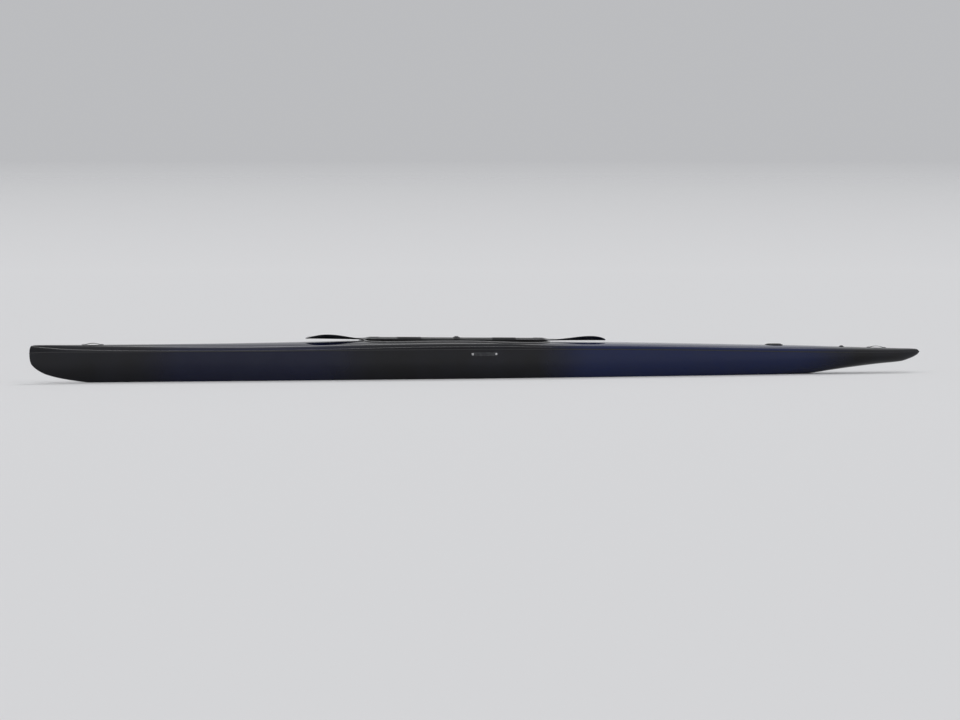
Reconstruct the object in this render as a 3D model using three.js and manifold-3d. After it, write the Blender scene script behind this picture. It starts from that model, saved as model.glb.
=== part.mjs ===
// A single-seat surf ski: a long, narrow sit-on-top racing kayak with an upright stem,
// a low overhanging stern, a moulded cockpit, a steered fin under the stern and its double-bladed paddle.
// Millimetres. +X points to the bow, +Y to port, +Z up. The origin is amidships on the waterline.
import * as THREE from "three";
import { mergeVertices } from "three/addons/utils/BufferGeometryUtils.js";
import Module from "manifold-3d";

const wasm = await Module();
wasm.setup();

// Driving dimensions
const GAP = 0.3; // between pieces that are bonded or rest on each other
const RUNNING_GAP = 0.5; // around the rod and the stock, on which pieces turn
const WIDE_OPEN = 200; // half the length of a bore that runs right through
const TUB_WALL = 7;
const RIM_RADIUS = 9;
const RIM_SINK = 2; // how far the rim's centre lies below the deck surface
// aftPower and forePower shape the cockpit's sections, power its plan
const COCKPIT = { aft: -450, fore: 860, power: 5, aftPower: 3, forePower: 4.4, halfLeast: 140 };
const SEAT_PAD = { aft: -375, fore: -70, half: 112, thick: 9 };
const HEEL_PAD = { aft: 484, fore: 612, half: 46, thick: 5 };
const RUDDER = { x: -2120, top: -40, depth: 200, chord: 118, tipChord: 62, rake: 46, thick: 13, setBack: 8 };
const STOCK_RADIUS = 5;
const BEARING = { radius: 13, collar: 20, collarDrop: 3.5, top: 96 };
const FOOTBOARD = {
  x: 640, z: -22, lean: 30, height: 124, thick: 6, halfLow: 88, halfHigh: 112, shoulder: 60,
};
const LUG = { aft: -6, fore: 8, width: 10, root: 8, top: 17 };
const PEDAL = { width: 96, height: 84, thick: 5, barrel: 7, middleGap: 12, aboveBoard: 10 };
const ROD_RADIUS = 4;
const RAIL = { y: 62, width: 20, top: -30, aft: 430, fore: 770 };
const SLIDER = { length: 84, fore: 20, width: 30, bottom: -36, top: -18, shelf: 8, shelfLength: 44 };
const STRAP = { x: -74, width: 46, thick: 4, half: 88, rise: 86, foot: 30, ear: 6 };
const BAILER = {
  x: 440, tube: 15, bore: 9, flange: 27, top: -42, scoop: 62, scoopWidth: 32, nose: -112, mouth: -127,
};
const DECK_HANDLE = { rise: 9, width: 22, thick: 3 };
const SIDE_HANDLE = { x: 60, z: 168, length: 190, rise: 13, width: 26, thick: 3 };
const HANDLE_FOOT = 22; // length of each end that lies on the boat
const HATCH = { radius: 62, rim: 12, low: 5, high: 9 };
const PLUG = { x: -2620, radius: 17, grip: 9, low: 4, high: 8 };
const SHAFT_RADIUS = 14.5;
const PADDLE = {
  length: 2150, centre: 190, blade: 470, bladeHalf: 82, throatHalf: 15, widest: 0.72,
  thick: 3, lift: 2, hollow: 17, curl: 14,
};
const SOCKET = { wall: 2, length: 54, overlap: 6 };
const CLAMP = { wall: 3, length: 46, lever: 28, leverWidth: 10, leverRise: 9 };

// Lines of the boat, from the bow to the stern. keel, seam and deck are heights on the centre line,
// half is half the width at the seam, vee and crown are the superellipse powers below and above it.
const LINES_COLUMNS = ["x", "keel", "seam", "deck", "half", "vee", "crown"];
const LINES = [
  [3200, 150, 200, 238, 5, 1.8, 2.0],
  [3187, 126, 203, 250, 10, 1.7, 2.0],
  [3165, 103, 205, 254, 15, 1.6, 2.0],
  [3135, 81, 206, 255, 19, 1.5, 1.9],
  [3080, 55, 207, 255, 25, 1.45, 1.9],
  [2950, 23, 207, 254, 38, 1.4, 1.8],
  [2700, -12, 206, 253, 59, 1.4, 1.8],
  [2300, -52, 205, 252, 94, 1.5, 1.8],
  [1800, -85, 204, 253, 133, 1.7, 1.8],
  [1300, -102, 203, 257, 167, 1.9, 2.0],
  [900, -109, 203, 262, 190, 2.05, 2.4],
  [400, -112, 202, 263, 213, 2.15, 2.9],
  [0, -112, 200, 261, 223, 2.2, 3.0],
  [-450, -110, 196, 241, 224, 2.2, 3.2],
  [-900, -101, 190, 232, 215, 2.15, 3.2],
  [-1400, -80, 180, 220, 198, 2.05, 3.0],
  [-1900, -46, 167, 206, 171, 1.95, 2.8],
  [-2300, -8, 156, 196, 142, 1.85, 2.6],
  [-2650, 36, 148, 183, 106, 1.8, 2.4],
  [-2900, 63, 144, 174, 74, 1.8, 2.2],
  [-3060, 77, 143, 168, 50, 1.8, 2.1],
  [-3130, 97, 143, 166, 36, 1.9, 2.0],
  [-3178, 119, 143, 162, 20, 2.0, 2.0],
  [-3200, 136, 143, 150, 6, 2.0, 2.0],
];

// Height of the cockpit's floor on the centre line, from the seat's back to the footwell's front wall
const FLOOR = [
  [-450, 241], [-438, 196], [-415, 120], [-380, 34], [-335, -28], [-280, -55], [-200, -60],
  [-110, -52], [-10, -20], [80, 12], [150, 24], [230, 14], [330, -20], [420, -46], [480, -50],
  [790, -50], [812, -36], [832, 40], [850, 160], [860, 261],
];

// Half the cockpit's width along it, before its ends are rounded: widest at the hips, slim at the legs
const COCKPIT_HALF = [[-450, 180], [-270, 190], [-100, 187], [80, 168], [260, 154], [500, 147], [860, 140]];

// Height of the low ridge between the legs, which fades out sideways over RIDGE_SPREAD
const RIDGE = [[-120, 0], [-50, 3], [60, 19], [190, 24], [320, 14], [420, 0]];
const RIDGE_SPREAD = 40;

// A smooth curve through [x, value] rows: cubic, and monotone between rows, so it never overshoots.
function monotone(rows) {
  const r = [...rows].sort((a, b) => a[0] - b[0]);
  const step = r.slice(1).map((p, i) => (p[1] - r[i][1]) / (p[0] - r[i][0]));
  const tangent = r.map((p, i) => {
    if (i === 0) return step[0];
    if (i === r.length - 1) return step[i - 1];
    const [a, b] = [step[i - 1], step[i]];
    return a * b <= 0 ? 0 : (2 * a * b) / (a + b);
  });
  return (x) => {
    const i = Math.min(Math.max(r.findIndex((p) => p[0] > x) - 1, 0), r.length - 2);
    const k = x >= r[r.length - 1][0] ? r.length - 2 : i;
    const h = r[k + 1][0] - r[k][0];
    const t = Math.min(Math.max((x - r[k][0]) / h, 0), 1);
    const [t2, t3] = [t * t, t * t * t];
    return (
      (2 * t3 - 3 * t2 + 1) * r[k][1] + (t3 - 2 * t2 + t) * h * tangent[k] +
      (3 * t2 - 2 * t3) * r[k + 1][1] + (t3 - t2) * h * tangent[k + 1]
    );
  };
}

const line = Object.fromEntries(
  LINES_COLUMNS.slice(1).map((name, k) => [name, monotone(LINES.map((row) => [row[0], row[k + 1]]))]),
);
const floorHeight = monotone(FLOOR);
const cockpitWidth = monotone(COCKPIT_HALF);
const ridgeTop = monotone(RIDGE);

// Height of the deck over a point, from the superellipse (y / half)^crown + (rise / height)^crown = 1
function deckHeight(x, y) {
  const power = line.crown(x);
  const share = Math.min(Math.abs(y) / line.half(x), 1);
  return line.seam(x) + (line.deck(x) - line.seam(x)) * (1 - share ** power) ** (1 / power);
}

// Half the cockpit's width at x: its own width there, rounded off at the ends as a superellipse is
function cockpitHalf(x) {
  const u = (x - COCKPIT.aft) / (COCKPIT.fore - COCKPIT.aft);
  return cockpitWidth(x) * (1 - Math.min(Math.abs(2 * u - 1), 1) ** COCKPIT.power) ** (1 / COCKPIT.power);
}

const ridgeHeight = (x, y) => ridgeTop(x) * Math.exp(-((y / RIDGE_SPREAD) ** 2));

const rimHeight = (x) => deckHeight(x, cockpitHalf(x));

// Meshes from rings of points. Rings have equal counts; the ends are closed by fans, or the loop by
// its first ring.
function loft(rings, closed = false) {
  const count = rings[0].length;
  const points = rings.flat(2);
  const index = [];
  const last = closed ? rings.length : rings.length - 1;
  for (let i = 0; i < last; i++) {
    for (let j = 0; j < count; j++) {
      const [a, b] = [i * count + j, i * count + ((j + 1) % count)];
      const next = ((i + 1) % rings.length) * count;
      const [c, d] = [next + j, next + ((j + 1) % count)];
      index.push(a, b, d, a, d, c);
    }
  }
  if (!closed) {
    for (const [i, turn] of [[0, 1], [rings.length - 1, 0]]) {
      for (let j = 1; j < count - 1; j++) {
        const [b, c] = [i * count + j, i * count + j + 1];
        index.push(i * count, turn ? c : b, turn ? b : c);
      }
    }
  }
  const geometry = new THREE.BufferGeometry();
  geometry.setAttribute("position", new THREE.Float32BufferAttribute(points, 3));
  geometry.setIndex(index);
  return geometry;
}

// A closed geometry as a solid that can be joined and cut, turned the right way out
function solid(geometry) {
  const bare = geometry.clone();
  bare.deleteAttribute("normal");
  bare.deleteAttribute("uv");
  const merged = mergeVertices(bare, 1e-3);
  const vertProperties = new Float32Array(merged.attributes.position.array);
  const triVerts = new Uint32Array(merged.index.array);
  const made = new wasm.Manifold(new wasm.Mesh({ numProp: 3, vertProperties, triVerts }));
  if (made.volume() > 0) return made;
  for (let i = 0; i < triVerts.length; i += 3) {
    [triVerts[i], triVerts[i + 1]] = [triVerts[i + 1], triVerts[i]];
  }
  return new wasm.Manifold(new wasm.Mesh({ numProp: 3, vertProperties, triVerts }));
}

function geometryOf(made) {
  const mesh = made.getMesh();
  const points = new Float32Array(mesh.numVert * 3);
  for (let i = 0; i < mesh.numVert; i++) {
    points.set(mesh.vertProperties.subarray(i * mesh.numProp, i * mesh.numProp + 3), i * 3);
  }
  const geometry = new THREE.BufferGeometry();
  geometry.setAttribute("position", new THREE.BufferAttribute(points, 3));
  geometry.setIndex(new THREE.BufferAttribute(mesh.triVerts, 1));
  geometry.computeVertexNormals();
  return geometry;
}

function box(x0, x1, y0, y1, z0, z1) {
  const block = new THREE.BoxGeometry(x1 - x0, y1 - y0, z1 - z0);
  return solid(block.translate((x0 + x1) / 2, (y0 + y1) / 2, (z0 + z1) / 2));
}

// Round bars: standing on the boat's centre plane, lying across the boat, and lying along X about the origin
function upright(radius, z0, z1, x, sides = 24) {
  const post = new THREE.CylinderGeometry(radius, radius, z1 - z0, sides).rotateX(Math.PI / 2);
  return solid(post.translate(x, 0, (z0 + z1) / 2));
}

function crossways(radius, y0, y1, x, z, sides = 16) {
  const bar = new THREE.CylinderGeometry(radius, radius, y1 - y0, sides);
  return solid(bar.translate(x, (y0 + y1) / 2, z));
}

function lengthways(radius, length) {
  return new THREE.CylinderGeometry(radius, radius, length, 20).rotateZ(Math.PI / 2);
}

// An outline drawn across the boat and upwards, as a sheet of a thickness whose back face is at X = 0
const standingSheet = (outline, thick) =>
  new THREE.ExtrudeGeometry(outline, { depth: thick, bevelEnabled: false })
    .rotateX(Math.PI / 2)
    .rotateZ(Math.PI / 2);

const colours = {
  navy: [0x141e48, 0.25], black: [0x0b0c0f, 0.35], carbon: [0x16171a, 0.3], foam: [0x24262a, 0.9],
  alloy: [0x9a9da2, 0.4], webbing: [0x121316, 0.85], plastic: [0x1a1b1e, 0.5], steel: [0xb4b6b9, 0.3],
};
const material = Object.fromEntries(
  Object.entries(colours).map(([name, [color, roughness]]) => [
    name,
    new THREE.MeshStandardMaterial({
      color, roughness, metalness: name === "alloy" || name === "steel" ? 0.9 : 0,
    }),
  ]),
);

const boat = new THREE.Group();
function add(name, shape, finish, parent = boat) {
  const mesh = new THREE.Mesh(shape.isBufferGeometry ? shape : geometryOf(shape), material[finish]);
  mesh.name = name;
  parent.add(mesh);
}

// Stations along the boat: evenly spread, and close together where the ends curve
const END_STATIONS = [3200, 3195, 3187, 3176, 3160, 3140, 3110, 3070, 3010, 2940];
const STERN_STATIONS = [-2960, -3030, -3080, -3120, -3150, -3172, -3190, -3200];
const MIDDLE_STEPS = 34;
const stations = [
  ...END_STATIONS,
  ...Array.from({ length: MIDDLE_STEPS }, (_, i) => 2860 - ((2860 + 2900) * i) / (MIDDLE_STEPS - 1)),
  ...STERN_STATIONS,
];
const BOTTOM_STEPS = 9; // a side
const DECK_STEPS = 6;

// Points of a superellipse quarter from its side to its middle, evenly spread by angle
const quarter = (steps, power) =>
  Array.from({ length: steps + 1 }, (_, i) => {
    const a = (i / steps) * (Math.PI / 2);
    return [Math.cos(a) ** (2 / power), Math.sin(a) ** (2 / power)];
  });

// The port half of a section and its mirror image, as one ring of points at x
function bothSides(x, side) {
  const port = side.slice(0, -1);
  return [...port, ...side.reverse().map(([y, z]) => [-y, z])].map(([y, z]) => [x, y, z]);
}

function bottomRing(x, drop = 0) {
  const [half, seam, keel] = [line.half(x), line.seam(x) - drop, line.keel(x)];
  const side = quarter(BOTTOM_STEPS, line.vee(x)).map(([c, s]) => [c * half, seam - s * (seam - keel)]);
  return bothSides(x, side);
}

function deckRing(x) {
  const [half, seam, deck] = [line.half(x), line.seam(x), line.deck(x)];
  const side = quarter(DECK_STEPS, line.crown(x)).map(([c, s]) => [c * half, seam + s * (deck - seam)]);
  return bothSides(x, side);
}

const wholeRing = (x) => [...bottomRing(x).slice(1, -1), ...deckRing(x).reverse()];
const hullBlock = solid(loft(stations.map((x) => bottomRing(x, GAP))));
const deckBlock = solid(loft(stations.map(deckRing)));
const envelope = solid(loft(stations.map(wholeRing)));

// The cockpit's hollow, grown by grow on all sides, with its top at top(x). Sections are superellipses
// that hang from the rim; the ends close because both width and depth run out there.
const COCKPIT_STEPS = 40;
const WALL_SHARES = [1, 0.994, 0.965, 0.91, 0.82, 0.69, 0.52, 0.36, 0.22, 0.1, 0]; // of the half width
const LAST_SHARE = 0.9995; // the end sections stop just short of the ends, where the width would be nothing
const cockpitMiddle = (COCKPIT.aft + COCKPIT.fore) / 2;
const cockpitReach = (COCKPIT.fore - COCKPIT.aft) / 2;
function cockpitBlock(grow, top) {
  const { aft, fore, aftPower, forePower } = COCKPIT;
  const rings = [];
  for (let i = 0; i <= COCKPIT_STEPS; i++) {
    const a = -Math.cos((i / COCKPIT_STEPS) * Math.PI) * LAST_SHARE;
    const x = cockpitMiddle + cockpitReach * a;
    const width = cockpitHalf(x) * (1 + grow / COCKPIT.halfLeast);
    const rim = rimHeight(x);
    const depth = rim - floorHeight(x) + grow;
    const power = THREE.MathUtils.mapLinear(x, aft, fore, aftPower, forePower);
    const side = WALL_SHARES.map((c) => {
      const fall = depth * (1 - c ** power) ** (1 / power);
      return [c * width, rim - fall + ridgeHeight(x, c * width)];
    });
    rings.push(bothSides(cockpitMiddle + (cockpitReach + grow) * a, [[width, top(rim)], ...side]));
  }
  return solid(loft(rings));
}

const ABOVE_DECK = 60;
const cockpitHollow = cockpitBlock(0, (rim) => rim + ABOVE_DECK);
const cockpitCut = cockpitBlock(TUB_WALL + GAP, (rim) => rim + ABOVE_DECK);
const tubBlock = cockpitBlock(TUB_WALL, (rim) => rim + 0.5);
const insideTub = cockpitBlock(-GAP, (rim) => rim + ABOVE_DECK);

// The rim: a round bead along the cockpit's edge
const RIM_STEPS = 64;
const RIM_SIDES = 8;
const RIM_SHARE = 0.9999;
function rimTube(radius) {
  const grown = TUB_WALL / 2;
  const centre = Array.from({ length: RIM_STEPS }, (_, i) => {
    const a = (i / RIM_STEPS) * 2 * Math.PI;
    const share = Math.cos(a);
    const x = cockpitMiddle + cockpitReach * share * RIM_SHARE;
    const y = Math.sign(Math.sin(a)) * cockpitHalf(x) * (1 + grown / COCKPIT.halfLeast);
    return new THREE.Vector3(x + grown * share, y, rimHeight(x) - RIM_SINK);
  });
  const rings = centre.map((p, i) => {
    const [before, after] = [centre[(i + RIM_STEPS - 1) % RIM_STEPS], centre[(i + 1) % RIM_STEPS]];
    const along = after.clone().sub(before).normalize();
    const out = new THREE.Vector3(along.y, -along.x, 0).normalize();
    const up = new THREE.Vector3().crossVectors(out, along).normalize();
    return Array.from({ length: RIM_SIDES }, (_, j) => {
      const b = ((j + 0.5) / RIM_SIDES) * 2 * Math.PI;
      const point = p.clone().addScaledVector(out, radius * Math.cos(b));
      return point.addScaledVector(up, radius * Math.sin(b)).toArray();
    });
  });
  return solid(loft(rings, true));
}

const rim = rimTube(RIM_RADIUS);
const rimCut = rimTube(RIM_RADIUS + GAP);
const restingOn = (piece) => piece.subtract(envelope.translate([0, 0, GAP]));
const hangingUnder = (piece) => piece.subtract(envelope.translate([0, 0, -GAP]));

function addHull() {
  const bailerHole = upright(BAILER.tube + GAP, -WIDE_OPEN, 60, BAILER.x);
  const bearingHole = upright(BEARING.radius + GAP, -WIDE_OPEN, BEARING.top + GAP, RUDDER.x);
  add("hull", hullBlock.subtract(cockpitCut).subtract(bailerHole).subtract(bearingHole), "navy");
  add("deck", deckBlock.subtract(cockpitCut).subtract(rimCut), "navy");
  add("cockpit_tub", tubBlock.subtract(cockpitHollow).subtract(rimCut).subtract(bailerHole), "black");
  add("cockpit_rim", rim, "carbon");
}

// A soft pad that follows the cockpit's floor: an outline with round corners, cut from the layer over it
const PAD_CORNER = 0.4; // share of the half width
const BELOW_FLOOR = -80;
function floorPad({ aft, fore, half, thick }) {
  const above = cockpitBlock(-GAP - thick, (r) => r + ABOVE_DECK);
  const corner = half * PAD_CORNER;
  const outline = new THREE.Shape();
  outline.absarc(fore - corner, -half + corner, corner, -Math.PI / 2, 0);
  outline.absarc(fore - corner, half - corner, corner, 0, Math.PI / 2);
  outline.absarc(aft + corner, half - corner, corner, Math.PI / 2, Math.PI);
  outline.absarc(aft + corner, -half + corner, corner, Math.PI, 1.5 * Math.PI);
  const block = new THREE.ExtrudeGeometry(outline, { depth: 190, bevelEnabled: false, curveSegments: 5 });
  return solid(block.translate(0, 0, BELOW_FLOOR)).intersect(insideTub).subtract(above);
}

const SIDES = [["port", 1], ["starboard", -1]];

function addCockpitFittings() {
  add("seat_pad", floorPad(SEAT_PAD), "foam");
  add("heel_pad", floorPad(HEEL_PAD), "foam");
  for (const [side, sign] of SIDES) {
    const [y0, y1] = [sign * RAIL.y - RAIL.width / 2, sign * RAIL.y + RAIL.width / 2];
    const rail = box(RAIL.aft, RAIL.fore, y0, y1, BELOW_FLOOR, RAIL.top).intersect(insideTub);
    add(`rail_${side}`, rail, "alloy");
  }
}

// A tube through the floor and the hull, with a flange above and a scoop below that opens aft
function addBailer() {
  const { x, tube, bore, flange, top, scoop, scoopWidth, nose, mouth } = BAILER;
  const tubeEnd = nose - 4;
  const wayLow = tubeEnd - 6; // the way out of the tube to the scoop's mouth
  const disc = upright(flange, top - 18, top, x, 28).intersect(insideTub);
  const body = upright(tube, tubeEnd, top - 2, x).add(disc);
  const wedge = new THREE.Shape();
  wedge.moveTo(x - scoop / 2, nose + 12);
  wedge.lineTo(x - scoop / 2, mouth);
  wedge.lineTo(x + scoop / 2, nose);
  wedge.lineTo(x + scoop / 2, nose + 12);
  const under = new THREE.ExtrudeGeometry(wedge, { depth: scoopWidth, bevelEnabled: false })
    .rotateX(Math.PI / 2)
    .translate(0, scoopWidth / 2, 0);
  const way = upright(bore, wayLow, 20, x).add(box(x - scoop, x, -bore, bore, wayLow, tubeEnd));
  add("bailer", body.add(hangingUnder(solid(under))).subtract(way), "plastic");
}

// The footboard slides on its rails. Its plate leans forward, and two toe pedals hinge on a rod at its top.
const leanAngle = THREE.MathUtils.degToRad(FOOTBOARD.lean);
const hinge = {
  x: FOOTBOARD.x + Math.sin(leanAngle) * (FOOTBOARD.height + PEDAL.aboveBoard),
  z: FOOTBOARD.z + Math.cos(leanAngle) * (FOOTBOARD.height + PEDAL.aboveBoard),
};
const leaned = (made, x, z) => made.rotate([0, FOOTBOARD.lean, 0]).translate([x, 0, z]);

function boardPlate() {
  const plate = new THREE.Shape();
  plate.moveTo(-FOOTBOARD.halfLow, 0);
  plate.lineTo(FOOTBOARD.halfLow, 0);
  plate.lineTo(FOOTBOARD.halfHigh, FOOTBOARD.shoulder);
  plate.lineTo(FOOTBOARD.halfHigh, FOOTBOARD.height);
  plate.lineTo(-FOOTBOARD.halfHigh, FOOTBOARD.height);
  plate.lineTo(-FOOTBOARD.halfHigh, FOOTBOARD.shoulder);
  let board = solid(standingSheet(plate, FOOTBOARD.thick));
  const [root, top] = [FOOTBOARD.height - LUG.root, FOOTBOARD.height + LUG.top];
  for (const y of [-FOOTBOARD.halfHigh, -LUG.width / 2, FOOTBOARD.halfHigh - LUG.width]) {
    board = board.add(box(LUG.aft, LUG.fore, y, y + LUG.width, root, top));
  }
  const bore = crossways(ROD_RADIUS + GAP, -WIDE_OPEN, WIDE_OPEN, hinge.x, hinge.z);
  return leaned(board, FOOTBOARD.x, FOOTBOARD.z).subtract(bore);
}

// A bridge over one rail, with the shelf and the ear that hold the foot strap's end
function slider(sign) {
  const y = sign * RAIL.y;
  const [aft, fore] = [FOOTBOARD.x + SLIDER.fore - SLIDER.length, FOOTBOARD.x + SLIDER.fore];
  const block = box(aft, fore, y - SLIDER.width / 2, y + SLIDER.width / 2, SLIDER.bottom, SLIDER.top);
  const across = RAIL.width / 2 + GAP;
  const slot = box(aft - 1, fore + 1, y - across, y + across, SLIDER.bottom - 1, RAIL.top + GAP);
  const outer = sign * (STRAP.half - 1);
  const inner = outer - sign * STRAP.ear;
  const shelfBottom = SLIDER.top - SLIDER.shelf;
  const shelfFore = aft + SLIDER.shelfLength;
  const ear = box(aft, shelfFore, Math.min(inner, outer), Math.max(inner, outer), shelfBottom, STRAP.foot);
  const shelf = box(aft, shelfFore, Math.min(y, outer), Math.max(y, outer), shelfBottom, SLIDER.top);
  return block.add(ear).add(shelf).subtract(slot);
}

function addFootboard() {
  add("footboard", boardPlate().add(slider(1)).add(slider(-1)), "alloy");
  const rodEnd = FOOTBOARD.halfHigh - 1;
  add("pedal_rod", crossways(ROD_RADIUS, -rodEnd, rodEnd, hinge.x, hinge.z), "steel");
  const bore = crossways(ROD_RADIUS + RUNNING_GAP, -WIDE_OPEN, WIDE_OPEN, hinge.x, hinge.z);
  for (const [side, sign] of SIDES) {
    const inner = (sign * PEDAL.middleGap) / 2;
    const outer = inner + sign * PEDAL.width;
    const [y0, y1] = [Math.min(inner, outer), Math.max(inner, outer)];
    const tread = box(-PEDAL.thick / 2, PEDAL.thick / 2, y0, y1, 0, PEDAL.height);
    const barrel = crossways(PEDAL.barrel, y0, y1, hinge.x, hinge.z);
    add(`pedal_${side}`, leaned(tread, hinge.x, hinge.z).add(barrel).subtract(bore), "carbon");
  }
}

function addFootStrap() {
  const arch = (half, rise) =>
    Array.from({ length: 17 }, (_, i) => {
      const a = (i / 16) * Math.PI;
      return new THREE.Vector2(half * Math.cos(a), STRAP.foot + rise * Math.sin(a) ** 0.8);
    });
  const edge = (half, rise) => [new THREE.Vector2(half, 0), ...arch(half, rise), new THREE.Vector2(-half, 0)];
  const outer = edge(STRAP.half + STRAP.thick, STRAP.rise + STRAP.thick);
  const inner = edge(STRAP.half, STRAP.rise).reverse();
  const band = standingSheet(new THREE.Shape([...outer, ...inner]), STRAP.width);
  add("foot_strap", solid(band.translate(FOOTBOARD.x + STRAP.x, 0, 0)), "webbing");
}

// A flat strap handle: a low arch with two feet, along X, on the deck or a hull side
const ARCH_STEPS = 10;
function strapArch(length, { rise, width, thick }) {
  const half = length / 2;
  const reach = half - HANDLE_FOOT;
  const level = (i) => (i === 0 || i === ARCH_STEPS ? 0 : rise * Math.sin((i / ARCH_STEPS) * Math.PI) ** 0.7);
  const edge = (up) =>
    Array.from({ length: ARCH_STEPS + 1 }, (_, i) => {
      return new THREE.Vector2(-reach + (2 * reach * i) / ARCH_STEPS, up + level(i));
    });
  const outline = [
    new THREE.Vector2(-half, 0),
    new THREE.Vector2(-half, thick),
    ...edge(thick),
    new THREE.Vector2(half, thick),
    new THREE.Vector2(half, 0),
    ...edge(0).reverse(),
  ];
  return new THREE.ExtrudeGeometry(new THREE.Shape(outline), { depth: width, bevelEnabled: false })
    .rotateX(Math.PI / 2)
    .translate(0, width / 2, 0);
}

function addHandles() {
  const sunk = 1.5; // a curved surface cuts this much off a strap's flat feet
  for (const [name, x, length] of [["bow_handle", 2760, 150], ["stern_handle", -2880, 140]]) {
    const slope = Math.atan2(line.deck(x + 50) - line.deck(x - 50), 100);
    const strap = strapArch(length, DECK_HANDLE).rotateY(-slope).translate(x, 0, line.deck(x) - sunk);
    add(name, restingOn(solid(strap)), "webbing");
  }
  const { x, z, length } = SIDE_HANDLE;
  const slope = (line.half(x + 90) - line.half(x - 90)) / 180;
  for (const [side, sign] of SIDES) {
    const strap = strapArch(length, SIDE_HANDLE)
      .rotateX((-Math.PI / 2) * sign)
      .rotateZ(sign * Math.atan(slope))
      .translate(x, sign * (line.half(x) - 2), z);
    const clear = envelope.scale([1, 1 + GAP / line.half(x), 1]);
    add(`side_handle_${side}`, solid(strap).subtract(clear), "webbing");
  }
}

function addDeckFittings() {
  const hatchDeck = line.deck(RUDDER.x);
  const lid = upright(HATCH.radius, hatchDeck - 12, hatchDeck + HATCH.low, RUDDER.x, 36)
    .add(upright(HATCH.radius - HATCH.rim, hatchDeck, hatchDeck + HATCH.high, RUDDER.x, 36));
  add("rudder_hatch", restingOn(lid), "plastic");
  const plugDeck = line.deck(PLUG.x);
  const plug = upright(PLUG.radius, plugDeck - 8, plugDeck + PLUG.low, PLUG.x, 20)
    .add(upright(PLUG.grip, plugDeck, plugDeck + PLUG.high, PLUG.x, 12));
  add("drain_plug", restingOn(plug), "plastic");
}

// The fin turns on an upright stock in a bearing tube through the hull's bottom
function finRing(z, chord, centre, thick) {
  const steps = 8;
  const side = Array.from({ length: steps + 1 }, (_, i) => {
    const t = (1 - Math.cos((i / steps) * Math.PI)) / 2;
    const curve = 0.2969 * Math.sqrt(t) - 0.126 * t - 0.3516 * t ** 2 + 0.2843 * t ** 3 - 0.1036 * t ** 4;
    return [centre + chord / 2 - t * chord, Math.max(5 * thick * curve, 0.5), z];
  });
  return [...side, ...[...side].reverse().map(([x, y, zz]) => [x, -y, zz])];
}

// The stock's bearing ends below the hull in a collar whose top follows the keel.
function addRudder() {
  const collarBottom = line.keel(RUDDER.x) - BEARING.collarDrop;
  const collar = hangingUnder(upright(BEARING.collar, collarBottom, 0, RUDDER.x));
  const bearing = upright(BEARING.radius, collarBottom, BEARING.top, RUDDER.x)
    .add(collar)
    .subtract(upright(STOCK_RADIUS + RUNNING_GAP, -WIDE_OPEN, WIDE_OPEN, RUDDER.x));
  add("rudder_bearing", bearing, "plastic");
  add("rudder_stock", upright(STOCK_RADIUS, RUDDER.top + GAP, BEARING.top - 1, RUDDER.x, 16), "steel");
  const levels = [0, 0.15, 0.35, 0.55, 0.75, 0.9, 0.97, 1];
  const tipStart = 0.85; // from there on the tip is rounded off
  const rings = levels.map((t) => {
    const chord = RUDDER.chord + (RUDDER.tipChord - RUDDER.chord) * t;
    const tip = t > tipStart ? 1 - 0.55 * ((t - tipStart) / (1 - tipStart)) ** 2 : 1;
    const centre = RUDDER.x - RUDDER.setBack - RUDDER.rake * t ** 1.5;
    return finRing(RUDDER.top - RUDDER.depth * t, chord * tip, centre, RUDDER.thick * (1 - 0.55 * t));
  });
  add("rudder_blade", solid(loft(rings)), "carbon");
}

// The paddle lies along the cockpit, its blades' necks on the rim's two ends and a blade over each deck
const throat = PADDLE.length / 2 - PADDLE.blade;
const bladeThick = (t) => PADDLE.thick * (1 + 1.6 * (1 - t) ** 2);
const rimFlat = RIM_RADIUS * Math.cos(Math.PI / RIM_SIDES); // the bead's sides are flat facets
function restAt(end) {
  const x = end + (Math.sign(end) * TUB_WALL) / 2;
  const neck = bladeThick((Math.abs(x - PADDLE.centre) - throat) / PADDLE.blade) - PADDLE.lift;
  return { x, z: line.deck(end) - RIM_SINK + rimFlat + neck + GAP };
}
const rest = { fore: restAt(COCKPIT.fore), aft: restAt(COCKPIT.aft) };
const paddleSlope = Math.atan2(rest.fore.z - rest.aft.z, rest.fore.x - rest.aft.x);

// Half the blade's width at a share t of its length, from the throat to the round tip
function bladeHalf(t) {
  const grown = Math.sin(Math.min(t / PADDLE.widest, 1) * (Math.PI / 2)) ** 1.5;
  const half = PADDLE.throatHalf + (PADDLE.bladeHalf - PADDLE.throatHalf) * grown;
  const past = Math.max(t - PADDLE.widest, 0) / (1.002 - PADDLE.widest);
  return half * Math.sqrt(Math.max(1 - past ** 2, 0.01));
}

function bladeGeometry() {
  const [steps, across] = [14, 8];
  const rings = Array.from({ length: steps + 1 }, (_, i) => {
    const t = 1 - (1 - i / steps) ** 1.3;
    const half = bladeHalf(t);
    const share = half / PADDLE.bladeHalf;
    const hollow = PADDLE.hollow * Math.sin(Math.min(t * 1.4, 1) * (Math.PI / 2)) * share ** 1.2;
    const back = Array.from({ length: across + 1 }, (_, j) => {
      const v = -1 + (2 * j) / across;
      const rise = hollow * v ** 2 + PADDLE.curl * Math.max(v, 0) ** 4 * share ** 2;
      return [t * PADDLE.blade, v * half, rise + PADDLE.lift];
    });
    return [...back, ...[...back].reverse().map(([x, y, z]) => [x, y, z - bladeThick(t)])];
  });
  return loft(rings);
}

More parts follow.
